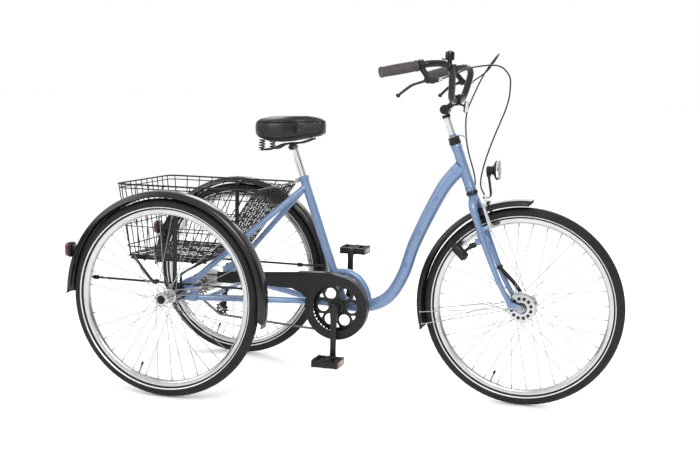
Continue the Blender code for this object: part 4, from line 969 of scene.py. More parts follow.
def make_front_fender():
    """Front fender and its two pairs of wire stays."""
    make_fender("mudguard_front", FRONT_AXLE, 87, 196.5, "steering", "front_fender", rounded=1.8)
    bm = bmesh.new()
    for side in BOTH:
        foot = FRONT_AXLE + ACROSS * side * 0.061 + Vector((-0.006, 0, 0.006))
        for angle in STAY_ANGLES:
            edge = round_wheel(FRONT_AXLE, 0.339, math.radians(angle), side * 0.0318)
            knee = foot.lerp(edge, 0.12)
            add_tube(bm, smooth_route([foot, knee, foot.lerp(edge, 0.5), edge], 4), 0.0016, 8)
            add_rivet(bm, edge - ACROSS * side * 0.0012, ACROSS * side, 0.0036)
        add_washer(bm, 0.0026, 0.0062, 0.0014, foot, ACROSS * side, 16)
    piece("mudguard_stays_front", bm, STAY_WIRE, "steering")


make_rear_fenders()
make_front_fender()


# Basket -------------------------------------------------------------------------------------
BASKET_LOW, BASKET_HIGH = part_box("basket")
RIM_WIRE = 0.003
WALL_WIRE = 0.0019
MESH_WIRE = 0.0013
FLOOR_HALF_Y = 0.194
FLOOR_REAR, FLOOR_FRONT = place(-0.212, 0, 0).x, place(0.088, 0, 0).x


def basket_corner(share, end, side):
    """Corner place of the basket at a share of its height, from the floor up."""
    z = BASKET_LOW.z + (BASKET_HIGH.z - BASKET_LOW.z) * share
    foot_x, top_x = (FLOOR_REAR, BASKET_LOW.x) if end < 0 else (FLOOR_FRONT, BASKET_HIGH.x)
    return Vector((foot_x + (top_x - foot_x) * share,
            side * (FLOOR_HALF_Y + (BASKET_HIGH.y - FLOOR_HALF_Y) * share), z))


def basket_ring(share, inset=0.0, corner=0.03):
    """Closed ring round the basket's walls with rounded corners."""
    low, high = basket_corner(share, -1, -1), basket_corner(share, 1, 1)
    x0, x1, y1, z = low.x + inset, high.x - inset, high.y - inset, low.z
    ring = []
    for cx, cy, first in ((x1 - corner, y1 - corner, 0), (x0 + corner, y1 - corner, 90),
            (x0 + corner, corner - y1, 180),
            (x1 - corner, corner - y1, 270)):
        for step in range(6):
            a = math.radians(first + 90 * step / 5)
            ring.append(Vector((cx + corner * math.cos(a), cy + corner * math.sin(a), z)))
    return ring


def evenly(first, last, pitch):
    """Places from first to last, about one pitch apart."""
    count = max(1, round(abs(last - first) / pitch))
    return [first + (last - first) * n / count for n in range(count + 1)]


def add_wire(bm, points, radius=WALL_WIRE, sides=6):
    """Wire along straight spans."""
    add_tube(bm, points, radius, sides)


def make_basket_walls():
    """Rims, hoops and the upright wires that turn under the floor."""
    bm = bmesh.new()
    add_tube(bm, basket_ring(0.9884, RIM_WIRE), RIM_WIRE, 10, closed=True)
    add_tube(bm, basket_ring(0.935, 0.006), 0.002, 8, closed=True)
    add_tube(bm, basket_ring(0.14, -0.0015), 0.0022, 8, closed=True)
    for share in (0.66, 0.42):
        add_tube(bm, basket_ring(share, 0.001), WALL_WIRE, 6, closed=True)
    piece("basket_rims", bm, WIRE_COAT, "frame", ["basket"])
    bm = bmesh.new()
    inset = 0.0042
    for share_y in evenly(-0.88, 0.88, 0.195):
        for end in BOTH:
            top = basket_corner(0.985, end, 1)
            foot = basket_corner(0.0, end, 1)
            turn_in = foot.x - end * 0.02
            add_wire(bm, [Vector((top.x - end * inset, top.y * share_y, top.z)),
                    Vector((foot.x - end * 0.002, foot.y * share_y, foot.z + 0.0045)),
                    Vector((foot.x - end * 0.006, foot.y * share_y, foot.z + 0.0018)),
                    Vector((turn_in, foot.y * share_y, foot.z + 0.0018))])
    for share_x in evenly(0.05, 0.94, 0.099):
        for side in BOTH:
            ends = [basket_corner(0.985, end, side) for end in BOTH] + [basket_corner(0.0, end, side)
                    for end in BOTH]
            top, foot = ends[0].lerp(ends[1], share_x), ends[2].lerp(ends[3], share_x)
            add_wire(bm, [top - ACROSS * side * inset, foot - ACROSS * side * 0.002 + UP * 0.0045,
                    foot - ACROSS * side * 0.006 + UP * 0.0018, foot - ACROSS * side * 0.02 + UP * 0.0018])
    piece("basket_uprights", bm, WIRE_COAT, "frame")


def make_basket_floor():
    """Two crossed layers of floor wire with a stiffer edge."""
    bm = bmesh.new()
    z = BASKET_LOW.z + 0.002
    edge = FLOOR_HALF_Y - 0.0045
    for y in evenly(-edge, edge, 0.03):
        add_wire(bm, [Vector((FLOOR_REAR + 0.004, y, z)), Vector((FLOOR_FRONT - 0.004, y, z))])
    for x in evenly(FLOOR_REAR + 0.01, FLOOR_FRONT - 0.01, 0.046):
        add_wire(bm, [Vector((x, -edge, z + 0.0024)), Vector((x, edge, z + 0.0024))], 0.0013)
    add_tube(bm, basket_ring(0.022, 0.003, 0.02), 0.0021, 8, closed=True)
    piece("basket_floor_grid", bm, WIRE_COAT, "frame")


def make_basket_mesh():
    """Panel of fine diamond mesh over the front wall."""
    bm = bmesh.new()
    low, high = basket_corner(0.03, 1, 1), basket_corner(0.96, 1, 1)
    rise = high - low
    length = math.hypot(rise.x, rise.z)
    pitch = 0.024
    for way in BOTH:
        for start in evenly(-0.56, 0.56, pitch):
            ends = []
            for number in range(61):
                share = number / 60
                y = start + way * (share - 0.5) * length
                half = low.y + (high.y - low.y) * share - 0.004
                if abs(y) < half:
                    ends.append(Vector((low.x + rise.x * share - 0.003, y, low.z + rise.z * share)))
            if len(ends) > 3:
                lift = Vector((0.0006 * way, 0, 0))
                add_wire(bm, [ends[0] + lift, ends[-1] + lift], MESH_WIRE, 5)
    for side in BOTH:
        add_wire(bm, [Vector((low.x - 0.003, side * (low.y - 0.004), low.z)),
                Vector((high.x - 0.003, side * (high.y - 0.004), high.z))], 0.0018)
    piece("basket_front_mesh", bm, WIRE_COAT, "frame")


def make_basket_carrier():
    """Bent bars from the axle bearings to the rails under the basket, with clips and bolts."""
    level = BASKET_LOW.z - 0.0056
    inner = 0.2385
    bm = bmesh.new()
    for side in BOTH:
        add_tube(bm, smooth_route([place(0.013, side * inner, 0.359), place(0.013, side * inner, 0.386),
                place(0.016, side * (inner - 0.003), 0.397), place(0.039, side * (inner - 0.028), 0.415),
                place(0.065, side * 0.185, level)], 5), 0.0046, 12)
        add_tube(bm, smooth_route([place(-0.055, side * 0.2634, CARRIER_Z),
                place(-0.076, side * 0.2632, CARRIER_Z),
                place(-0.088, side * 0.257, 0.3745), place(-0.14, side * 0.219, 0.404),
                place(-0.178, side * 0.1905, 0.4265), place(-0.19, side * 0.184, level)], 5), 0.0052, 14)
        add_block(bm, place(-0.066, side * 0.2675, CARRIER_Z), (0.014, 0.022, 0.015), bevel=0.0022)
        add_rod(bm, place(-0.2, side * RAIL_Y, level), place(0.08, side * RAIL_Y, level), 0.0046, 16)
        add_block(bm, place(0, side * inner, 0.3586), (0.044, 0.016, 0.006), bevel=0.0012)
    for x in (-0.185, 0.065):
        add_rod(bm, place(x, -0.19, level), place(x, 0.19, level), 0.0046, 16)
    piece("basket_carrier", bm, BLACK_PAINT, "frame", ["basket_support"])
    bm = bmesh.new()
    for side in BOTH:
        for x in (-0.0175, 0.0175):
            add_bolt(bm, place(x * 0.3, side * inner, 0.3614), UP, 0.007, 0.003)
        for x in (-0.15, 0.03):
            centre = place(x, side * RAIL_Y, level)
            add_block(bm, centre + UP * 0.0062, (0.016, 0.02, 0.0022), bevel=0.0005)
            add_bolt(bm, centre - UP * 0.004, -UP, 0.007, 0.0034)
    piece("basket_clips", bm, DARK_STEEL, "frame")


make_basket_walls()
make_basket_floor()
make_basket_mesh()
make_basket_carrier()


# Drive --------------------------------------------------------------------------------------
PITCH = 0.0127
PATH_STEPS = 120
CHAIN_WHEELS = ((REAR_AXLE.x, REAR_AXLE.z, 18), (CRANK_AXIS.x, CRANK_AXIS.z, 44), (PULLEY.x, PULLEY.z, 11))


def pitch_radius(teeth):
    """Radius of a chain wheel's pitch circle."""
    return PITCH / (2 * math.sin(math.pi / teeth))


def toothed(teeth):
    """Outline of a chain wheel with rounded teeth."""
    radius = pitch_radius(teeth)
    outline = []
    for tooth in range(teeth):
        for share, height in ((0.0, -0.0038), (0.14, -0.0036), (0.27, -0.002), (0.36, 0.001),
                (0.44, 0.0034),
                (0.5, 0.0038), (0.56, 0.0034), (0.64, 0.001), (0.73, -0.002), (0.86, -0.0036)):
            a = math.tau * (tooth + share) / teeth
            outline.append(((radius + height) * math.cos(a), (radius + height) * math.sin(a)))
    return outline


WINDOW_RADIUS = 0.08
GUARD_RADIUS = 0.11


def make_chain_guard():
    """Guard over the chain: rounded rim, raised ring round the window, step and screws."""
    outer_y, inner_y = (corner.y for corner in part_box("chain_guard"))
    centre_x, centre_z = CRANK_AXIS.x - REAR_AXLE.x, CRANK_AXIS.z
    rear = [(0.074, 0.346), (0.0755, 0.376), (0.078, 0.384), (0.371, 0.4045), (0.486, 0.408)]
    front = arc(centre_x, centre_z, GUARD_RADIUS, 74, -194, 90)
    under = [(0.384, 0.333), (0.352, 0.3455), (0.261, 0.348)]
    shape = rear + front + under
    window = circle(centre_x, centre_z, WINDOW_RADIUS, 96)
    bm = bmesh.new()
    add_plate(bm, [shape, window], 0.0024, place(0, outer_y + 0.0012, 0), bevel=0.0009)
    wall = under[1:] + rear + front
    inset = []
    for number, (x, z) in enumerate(wall):
        before, after = wall[max(0, number - 1)], wall[min(len(wall) - 1, number + 1)]
        dx, dz = after[0] - before[0], after[1] - before[1]
        length = math.hypot(dx, dz)
        inset.append((x + dz / length * 0.0022, z - dx / length * 0.0022))
    angles = [math.degrees(math.atan2(z - centre_z, x - centre_x)) % 360 for x, z in wall]
    runs, run = [], []
    for number, ((x, z), angle) in enumerate(zip(wall, angles)):
        near = math.hypot(x - centre_x, z - centre_z) < 0.12
        at_rear = x < 0.0785 and z < 0.386
        if (near and 176 < angle < 262) or at_rear:
            if len(run) > 1:
                runs.append(run)
            run = []
        else:
            run.append(number)
    if len(run) > 1:
        runs.append(run)
    for run in runs:
        sections = []
        for number in run:
            (x, z), (ix, iz) = wall[number], inset[number]
            sections.append([place(x, outer_y + 0.0009, z), place(x, inner_y - 0.0006, z),
                    place(ix, inner_y, iz),
                    place(ix, outer_y + 0.0012, iz)])
        add_loft(bm, sections)
    ring_place = place(centre_x, outer_y, centre_z)
    add_turned(bm, [(WINDOW_RADIUS, 0.001), (WINDOW_RADIUS, -0.0014), (0.0812, -0.0022), (0.0862, -0.0022),
            (0.0876, -0.001),
            (0.0876, 0.001)], ring_place, ACROSS, 96, closed=True)
    add_turned(bm, [(0.103, 0.0008), (0.103, -0.0008), (0.1042, -0.0014), (0.1072, -0.0014),
            (0.1084, -0.0008),
            (0.1084, 0.0008)], ring_place, ACROSS, 96, closed=True)
    add_plate(bm, [[(0.095, 0.358), (0.095, 0.376), (0.371, 0.395), (0.398, 0.393), (0.388, 0.36)]], 0.0016,
            place(0, outer_y - 0.0002, 0), bevel=0.0006)
    piece("guard_shell", bm, BLACK_MOULDED, "frame", ["chain_guard"], sharp=30)
    bm = bmesh.new()
    for x, z in ((0.084, 0.367), (0.385, 0.356), (0.43, 0.399), (centre_x, centre_z - 0.095),
            (centre_x + 0.095, centre_z)):
        add_rivet(bm, place(x, outer_y + 0.0002, z), -ACROSS, 0.0034)
    piece("guard_screws", bm, DARK_STEEL, "frame")


def chain_path():
    """Places and tangents along the chain's pitch line, one for each pin."""
    corners = []
    for (x1, z1, t1), (x2, z2, t2) in zip(CHAIN_WHEELS, CHAIN_WHEELS[1:] + CHAIN_WHEELS[:1]):
        line = math.atan2(z2 - z1, x2 - x1)
        distance = math.hypot(x2 - x1, z2 - z1)
        corners.append(line + math.acos((pitch_radius(t1) - pitch_radius(t2)) / distance))
    dense = []
    for number, (x, z, teeth) in enumerate(CHAIN_WHEELS):
        begin, end = corners[number - 1], corners[number]
        while end > begin:
            end -= math.tau
        for step in range(PATH_STEPS + 1):
            a = begin + (end - begin) * step / PATH_STEPS
            dense.append(Vector((x + pitch_radius(teeth) * math.cos(a), CHAIN_Y,
                    z + pitch_radius(teeth) * math.sin(a))))
    dense.append(dense[0].copy())
    lengths = [0.0]
    for before, after in zip(dense, dense[1:]):
        lengths.append(lengths[-1] + (after - before).length)
    links = 2 * round(lengths[-1] / PITCH / 2)
    pins, spot = [], 0
    for number in range(links):
        want = lengths[-1] * number / links
        while lengths[spot + 1] < want:
            spot += 1
        share = (want - lengths[spot]) / max(1e-9, lengths[spot + 1] - lengths[spot])
        pins.append(dense[spot].lerp(dense[spot + 1], share))
    return pins


def add_link(bm, first, second, y, thickness, width):
    """Figure-of-eight side plate between two pins."""
    along = (second - first).normalized()
    upward = ACROSS.cross(along)
    reach = (second - first).length
    ring = []
    for a in turns(16):
        c, s = math.cos(a), math.sin(a)
        centre = 0.0 if c < 0 else reach
        waist = 0.72 if abs(c) < 0.2 else 1.0
        ring.append(first + along * (centre + width * c) + upward * width * s * waist)
    add_loft(bm, [[point + ACROSS * (y - thickness / 2) for point in ring],
            [point + ACROSS * (y + thickness / 2) for point in ring]])


def make_chain():
    """Roller chain of inner and outer links."""
    pins = chain_path()
    bm = bmesh.new()
    for number, pin in enumerate(pins):
        following = pins[(number + 1) % len(pins)]
        spread = 0.0032 if number % 2 else 0.0022
        for side in BOTH:
            add_link(bm, pin, following, side * spread, 0.0009, 0.004)
        add_tube(bm, [pin - ACROSS * 0.0041, pin + ACROSS * 0.0041], 0.0017, 8)
        add_tube(bm, [pin - ACROSS * 0.0018, pin + ACROSS * 0.0018], 0.0033, 10)
    piece("roller_chain", bm, CHAIN_STEEL, "frame", ["chain"], sharp=30)


def make_tensioner():
    """Toothed pulley on its bracket, clamped to the cross tube."""
    bm = bmesh.new()
    add_plate(bm, [toothed(11), circle(0, 0, 0.0046, 20)] + [circle(0.0125 * math.cos(a),
            0.0125 * math.sin(a), 0.0026, 12)
            for a in turns(5)],
            0.0034, PULLEY, bevel=0.0005)
    for side in BOTH:
        add_turned(bm, [(0.0046, 0), (0.0074, 0), (0.007, 0.0022), (0.0046, 0.0022)],
                PULLEY + ACROSS * side * 0.0016,
                ACROSS * side, 20, closed=True)
    piece("tension_pulley", bm, BLACK_MOULDED, "pulley", ["tensioner_pulley"])
    bm = bmesh.new()
    x, z = PULLEY.x - REAR_AXLE.x, PULLEY.z
    plate = arc(x, z, 0.0115, 200, 340, 12) + [(0.1005, 0.3), (0.1005, 0.322), (0.0975, 0.327),
            (0.0825, 0.327),
            (0.0795, 0.322), (0.0795, 0.3)]
    add_plate(bm, [plate, circle(CROSS_TUBE_X, CROSS_TUBE_Z, 0.0083, 24), circle(0.0885, 0.28, 0.0055, 16)],
            0.003,
            place(0, CHAIN_Y + 0.0105, 0))
    add_turned(bm, [(0.0083, 0), (0.0118, 0), (0.0125, 0.0008), (0.0125, 0.0152), (0.0118, 0.016),
            (0.0083, 0.016)],
            place(CROSS_TUBE_X, CHAIN_Y + 0.0045, CROSS_TUBE_Z), ACROSS, 32, closed=True)
    add_block(bm, place(CROSS_TUBE_X, CHAIN_Y + 0.0125, 0.3012), (0.011, 0.012, 0.008), bevel=0.0012)
    add_rod(bm, PULLEY - ACROSS * 0.006, PULLEY + ACROSS * 0.0105, 0.004, 20)
    piece("tension_bracket", bm, BLACK_PAINT, "frame", ["tensioner_bracket"])
    bm = bmesh.new()
    add_bolt(bm, PULLEY - ACROSS * 0.005, -ACROSS, 0.008, 0.0034)
    add_bolt(bm, place(CROSS_TUBE_X, CHAIN_Y + 0.0125, 0.2975), -UP, 0.006, 0.0034)
    piece("tension_bolts", bm, ZINC, "frame")


def make_rear_drive():
    """Toothed sprocket and the bolted differential housing."""
    centre = REAR_AXLE + ACROSS * CHAIN_Y
    bm = bmesh.new()
    holes = [circle(0.0245 * math.cos(a), 0.0245 * math.sin(a), 0.003, 14) for a in turns(6)]
    add_plate(bm, [toothed(18), circle(0, 0, 0.0172, 40), *holes], 0.0032, centre, bevel=0.0005)
    piece("drive_sprocket", bm, CHAIN_STEEL, "rear_drive", ["rear_sprocket"])
    bm = bmesh.new()
    profile = [(0.009, 0.095), (0.0178, 0.095), (0.019, 0.0938), (0.023, 0.09), (0.0325, 0.0795),
            (0.034, 0.077),
            (0.034, 0.044), (0.0352, 0.043), (0.0352, 0.036), (0.034, 0.035), (0.034, 0.001),
            (0.0325, -0.002), (0.0205, -0.0165), (0.019, -0.0185), (0.019, -0.0482), (0.0182, -0.049),
            (0.016, -0.049), (0.016, -0.0592), (0.0152, -0.06), (0.009, -0.06)]
    add_turned(bm, profile, REAR_AXLE, ACROSS, 64, closed=True)
    for a in turns(12):
        out = upright_way(a)
        add_block(bm, REAR_AXLE + ACROSS * 0.02 + out * 0.0342, (0.0026, 0.003, 0.026), ACROSS, out, 0.0008,
                1)
    piece("differential", bm, SATIN_ALLOY, "rear_drive", ["differential_housing"])
    bm = bmesh.new()
    for a in turns(6, 0.5):
        out = upright_way(a)
        add_bolt(bm, REAR_AXLE + ACROSS * 0.078 + out * 0.0285, (ACROSS * 1.0 + out * 0.55).normalized(),
                0.006, 0.0026)
    piece("differential_bolts", bm, ZINC, "rear_drive")


def make_crankset():
    """Chainring with round and small three-cornered windows, spider, arms, spindle and bearing."""
    centre = CRANK_AXIS + ACROSS * CHAIN_Y
    loops = [toothed(44), circle(0, 0, 0.0088, 32)]
    for number in range(6):
        a = math.tau * number / 6
        loops.append(circle(0.051 * math.cos(a), 0.051 * math.sin(a), 0.019, 40))
        b = a + math.pi / 6
        spot = Vector((math.cos(b), math.sin(b)))
        side = Vector((-spot.y, spot.x))
        corners = [spot * 0.056, spot * 0.07 + side * 0.0092, spot * 0.0722, spot * 0.07 - side * 0.0092]
        loops.append([(corner.x, corner.y) for corner in corners])
    bm = bmesh.new()
    add_plate(bm, loops, 0.0034, centre, bevel=0.0006)
    add_turned(bm, [(0.0088, 0), (0.026, 0), (0.0235, 0.0034), (0.015, 0.006), (0.0088, 0.006)],
            centre - ACROSS * 0.0012, -ACROSS, 48, closed=True)
    piece("chain_ring", bm, BLACK_PAINT, "crankset", ["chainring"])
    bm = bmesh.new()
    add_rod(bm, CRANK_AXIS - ACROSS * 0.0872, CRANK_AXIS + ACROSS * 0.0872, 0.0085, 32)
    piece("crank_axle", bm, ZINC, "crankset", ["crank_spindle"])
    bm = bmesh.new()
    for side in BOTH:
        out = ACROSS * side
        add_turned(bm, [(0.0092, 0.033), (0.0216, 0.0342), (0.0216, 0.0356), (0.0196, 0.0366),
                (0.012, 0.0366),
                (0.011, 0.0374), (0.0092, 0.0374)], CRANK_AXIS, out, 12, closed=True)
    piece("crank_bearing", bm, ZINC, "frame", ["bottom_bracket"])
    for side, word in SIDES:
        make_crank_arm(side, word)
        make_pedal(word)


CRANK_Y = 0.0945


def make_crank_arm(side, word):
    """Forged arm with a pinch of waist, its boss, dust cap and pedal pin."""
    out = ACROSS * side
    down = UP * side
    low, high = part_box(f"crank_arm_{word}")
    length = (high.z - CRANK_AXIS.z if side > 0 else CRANK_AXIS.z - low.z) - 0.0115
    bm = bmesh.new()
    add_loft(bm, [oval(CRANK_AXIS + down * along + out * CRANK_Y, FORWARD, ACROSS, width, thick, 28, 3.6)
            for along, width, thick in ((-0.0152, 0.005, 0.004), (-0.014, 0.01, 0.0056),
            (-0.008, 0.0142, 0.006), (0.0, 0.0152, 0.006), (0.016, 0.0136, 0.006), (0.035, 0.0112, 0.0058),
            (length - 0.03, 0.0098, 0.0056), (length - 0.012, 0.0106, 0.0058), (length, 0.0116, 0.006),
            (length + 0.008, 0.0085, 0.0056), (length + 0.0114, 0.004, 0.004))])
    add_turned(bm, [(0.0088, 0), (0.0126, 0), (0.0133, 0.0008), (0.014, 0.025), (0.0088, 0.025)],
            CRANK_AXIS + out * 0.064, out, 36, closed=True)
    piece(f"crank_{word}", bm, BLACK_PAINT, "crankset", [f"crank_arm_{word}"])
    bm = bmesh.new()
    add_turned(bm, [(0, 0), (0.0104, 0), (0.01, 0.0012), (0.006, 0.0016), (0.0052, 0.0008), (0, 0.0008)],
            CRANK_AXIS + out * 0.1003, out, 32)
    tip = CRANK_AXIS + down * length
    add_rod(bm, tip + out * CRANK_Y, tip + out * 0.1925, 0.0048, 20)
    add_washer(bm, 0, 0.0078, 0.003, tip + out * 0.1005, out, 6)
    piece(f"crank_fittings_{word}", bm, DARK_STEEL, "crankset")


def make_pedal(word):
    """Block pedal: cage with two windows, ribbed treads, end cap and amber reflectors."""
    body = f"{word}_pedal"
    centre = middle(f"pedal_{word}")
    bm = bmesh.new()
    for x in (-0.0405, 0.0405):
        add_block(bm, centre + FORWARD * x, (0.0086, 0.0876, 0.0236), bevel=0.0024)
    for y in (-0.0385, 0.0385):
        add_block(bm, centre + ACROSS * y, (0.086, 0.0104, 0.022), bevel=0.0026)
    for tilt in (-0.009, 0.009):
        add_block(bm, centre + UP * tilt, (0.025, 0.08, 0.0056), bevel=0.0016)
    for x in (-0.0262, 0.0262):
        add_block(bm, centre + FORWARD * x, (0.005, 0.07, 0.012), bevel=0.001)
    add_turned(bm, mirrored([(0.0058, -0.0432), (0.0098, -0.0432)]), centre,
            ACROSS, 28,
            closed=True)
    for top in BOTH:
        for x in (-0.0405, 0.0, 0.0405):
            for y in evenly(-0.034, 0.034, 0.0068):
                add_block(bm, centre + Vector((x, y, top * 0.0122)), (0.0074 if x else 0.02, 0.003, 0.0018),
                        bevel=0.0005, segments=1)
    piece(f"pedal_block_{word}", bm, BLACK_MOULDED, body, [f"pedal_{word}"])
    bm = bmesh.new()
    for end in BOTH:
        add_block(bm, centre + FORWARD * end * 0.0444, (0.0022, 0.056, 0.013), bevel=0.0008)
    piece(f"pedal_reflectors_{word}", bm, AMBER, body)


make_chain_guard()
make_chain()
make_tensioner()
make_rear_drive()
make_crankset()


# Fork and steering --------------------------------------------------------------------------
BLADE_ROUTE = ((-0.027, 0.001, 0.01), (-0.033, -0.001, 0.03), (-0.056, -0.004, 0.0465),
        (-0.1, -0.005, 0.05),
        (-0.21, -0.0045, 0.053), (-0.31, 0.0005, 0.055))
DROPOUT_Y = 0.057


def blade_route(side):
    """Fork blade from the crown to its dropout."""
    axle = FRONT_AXLE - HEAD_FOOT
    foot = on_head(axle.dot(HEAD_UP) + 0.026, axle.dot(HEAD_FORWARD) - 0.027, side * DROPOUT_Y)
    return smooth_route([*(on_head(along, ahead, side * y) for along, ahead, y in BLADE_ROUTE), foot], 8)


def make_fork():
    """Steerer, crown, two raked blades, dropouts, brake bosses and dynamo tab."""
    bm = bmesh.new()
    add_turned(bm, [(0.0115, 0.196), (0.0127, 0.1952), (0.0127, -0.012), (0.0158, -0.014),
            (0.0165, -0.0175),
            (0.0165, -0.0425), (0.0145, -0.044), (0.0115, -0.044)], HEAD_FOOT, HEAD_UP, 48, closed=True)
    for side in BOTH:
        route = blade_route(side)
        add_tube(bm, route, 0.0138, 28, lambda t: 1 - 0.42 * max(0, t - 0.3) / 0.7)
        foot, axle = route[-1], FRONT_AXLE + ACROSS * side * DROPOUT_Y
        line = math.degrees(math.atan2(foot.z - axle.z, foot.x - axle.x))
        shape = arc(0, 0, 0.013, line + 90, line + 270, 16)
        shape += arc(foot.x - axle.x, foot.z - axle.z, 0.009, line - 90, line + 90, 12)
        add_plate(bm, [shape, circle(0, 0, 0.0053, 20)], 0.006, axle, bevel=0.0009)
        boss = on_head(BRAKE_BOSS_AT, -0.003, side * BRAKE_BOSS_Y)
        add_turned(bm, [(0, 0), (0.0075, 0), (0.0075, 0.026), (0.0062, 0.028), (0.004, 0.0282),
                (0.004, 0.046),
                (0, 0.046)], boss, HEAD_FORWARD, 24)
    add_block(bm, place(0.995, -0.052, 0.549), (0.045, 0.004, 0.024), HEAD_UP, HEAD_FORWARD, 0.0012)
    add_turned(bm, [(0.0145, 0), (0.0172, 0.0006), (0.0172, 0.003), (0.0145, 0.0036)], on_head(-0.0178),
            HEAD_UP, 40,
            closed=True)
    piece("fork_blades", bm, PAINT, "steering", ["fork"])
    bm = bmesh.new()
    for side in BOTH:
        route = blade_route(side)
        add_weld(bm, route[-2], route[-1] - route[-3], 0.0078, 0.002)
        add_weld(bm, on_head(-0.03, 0.0, side * 0.0185), ACROSS, 0.0132, 0.0024)
    piece("fork_welds", bm, WELD_PAINT, "steering", sharp=60)


BAR_CENTRE = (0.885, 1.0)
STEM_PIVOT = (0.8485, 0.969)
GRIP_START, GRIP_END = (0.81, 0.272, 1.104), (0.711, 0.332, 1.081)
GRIP_LENGTH = 0.121
BAR_RADIUS = 0.0111
BAR_HALF_WIDTH = 0.329
GRIP_RIBS, RIB_PITCH = 20, 0.0051


def bar_route(side):
    """Handlebar from its middle to one end."""
    start, end = Vector(GRIP_START), Vector(GRIP_END)
    inward = (start - end).normalized()
    points = [(BAR_CENTRE[0], 0.03, BAR_CENTRE[1]), (BAR_CENTRE[0], 0.07, BAR_CENTRE[1]),
            (0.888, 0.108, 1.014),
            (0.895, 0.142, 1.055), (0.897, 0.172, 1.093), (0.879, 0.212, 1.113), start + inward * 0.042,
            start + inward * 0.024, start, end]
    return [place(x, y * side, z) for x, y, z in points]


def grip_axis(side):
    """Grip's inner end and its direction outwards."""
    start, end = (place(x, y * side, z) for x, y, z in (GRIP_START, GRIP_END))
    return start, (end - start).normalized()


def make_stem():
    """Chrome quill, the hinged clamp on it and the arm to the bar, with their bolts."""
    lower, upper = place(STEM_PIVOT[0], 0, STEM_PIVOT[1]), place(BAR_CENTRE[0], 0, BAR_CENTRE[1])
    top = (lower - HEAD_FOOT).dot(HEAD_UP) - 0.0166
    bm = bmesh.new()
    add_rod(bm, on_head(0.11), on_head(top), BAR_RADIUS, 40)
    piece("stem_shaft", bm, CHROME, "steering", ["stem_quill"])
    bm = bmesh.new()
    add_turned(bm, mirrored([(0, -0.019), (0.015, -0.019), (0.016, -0.0178), (0.016, -0.0072),
            (0.0154, -0.0066)]), lower, ACROSS,
            40)
    reach = upper - lower
    rise = reach.normalized()
    thick = ACROSS.cross(rise)
    add_loft(bm, [oval(lower + reach * share, ACROSS, thick, width, depth, 28, 3.4)
            for share, width, depth in ((0.0, 0.012, 0.01), (0.3, 0.0118, 0.0092), (0.6, 0.012, 0.0094),
            (1.0, 0.0124, 0.011))])
    add_turned(bm, mirrored([(0.0114, -0.022), (0.0166, -0.022), (0.0175, -0.021)]), upper, ACROSS, 40,
            closed=True)
    add_turned(bm, [(0.0114, 0), (0.0138, 0.0004), (0.0142, 0.006), (0.0138, 0.011), (0.0114, 0.0114)],
            on_head(top - 0.0112), HEAD_UP, 32, closed=True)
    for side in BOTH:
        add_block(bm, upper + rise * 0.017 + ACROSS * side * 0.013 - thick * 0.002, (0.018, 0.011, 0.008),
                rise, thick,
                0.0014)
    piece("stem_body", bm, BLACK_PAINT, "steering", ["stem_clamp"])
    bm = bmesh.new()
    add_bolt(bm, lower - ACROSS * 0.0188, -ACROSS, 0.0095, 0.0042)
    add_bolt(bm, lower + ACROSS * 0.0188, ACROSS, 0.0095, 0.0042)
    for side in BOTH:
        add_bolt(bm, upper + rise * 0.0208 + ACROSS * side * 0.013 - thick * 0.002, rise, 0.006, 0.0036)
    piece("stem_bolts", bm, DARK_STEEL, "steering")


def make_bar():
    """Swept handlebar with its two ribbed grips."""
    right, left = bar_route(-1), bar_route(1)
    centre = place(BAR_CENTRE[0], 0, BAR_CENTRE[1])
    route = [point for point in smooth_route([*reversed(right), centre, *left], 8) if abs(point.y) < BAR_HALF_WIDTH]
    bm = bmesh.new()
    add_tube(bm, route, BAR_RADIUS, 28)
    piece("swept_bar", bm, BLACK_PAINT, "steering", ["handlebar"])
    for side, word in SIDES:
        start, out = grip_axis(side)
        profile = [(0.0114, 0.0), (0.0172, 0.0), (0.018, 0.0012), (0.018, 0.0036), (0.016, 0.005)]
        for rib in range(GRIP_RIBS):
            base = 0.007 + rib * RIB_PITCH
            swell = 0.0007 * math.sin(math.pi * rib / (GRIP_RIBS - 1))
            profile += [(0.0152 + swell, base), (0.0163 + swell, base + 0.0012),
                    (0.0163 + swell, base + 0.0032),
                    (0.0152 + swell, base + 0.0044)]
        profile += [(0.0158, 0.111), (0.017, 0.1125), (0.0172, 0.1175), (0.015, GRIP_LENGTH),
                (0, GRIP_LENGTH)]
        bm = bmesh.new()
        add_turned(bm, profile, start, out, 40)
        piece(f"hand_grip_{word}", bm, GRIP_RUBBER, "steering", [f"grip_{word}"], sharp=50)


def make_bell():
    """Tall bell on the right bend of the bar."""
    seat = place(0.8935, -0.186, 1.1025)
    bm = bmesh.new()
    along = Vector((-0.3, -0.78, 0.48)).normalized()
    add_turned(bm, mirrored([(0.0112, -0.0045), (0.0134, -0.0045)], 0.0138), seat, along, 32,
            closed=True)
    add_turned(bm, [(0, 0.01), (0.0075, 0.01), (0.0075, 0.0225), (0.0136, 0.0228), (0.0142, 0.0236),
            (0.0142, 0.0262),
            (0, 0.0262)], seat, UP, 36)
    add_tube(bm, smooth_route([seat + Vector((-0.012, 0, 0.025)), seat + Vector((-0.02, 0.002, 0.0255)),
            seat + Vector((-0.026, 0.003, 0.027))], 4), 0.0022, 10)
    piece("bell_base", bm, BLACK_MOULDED, "steering")
    bm = bmesh.new()
    dome = [(0.014, 0.0264), (0.0144, 0.0268), (0.0146, 0.039), (0.0142, 0.045), (0.0126, 0.0492),
            (0.009, 0.0516),
            (0.004, 0.0524), (0, 0.0525)]
    add_turned(bm, [(0, 0.0264), *dome], seat, UP, 40)
    add_rivet(bm, seat + UP * 0.0521, UP, 0.0024)
    piece("bell_dome", bm, BLACK_GLOSS, "steering")


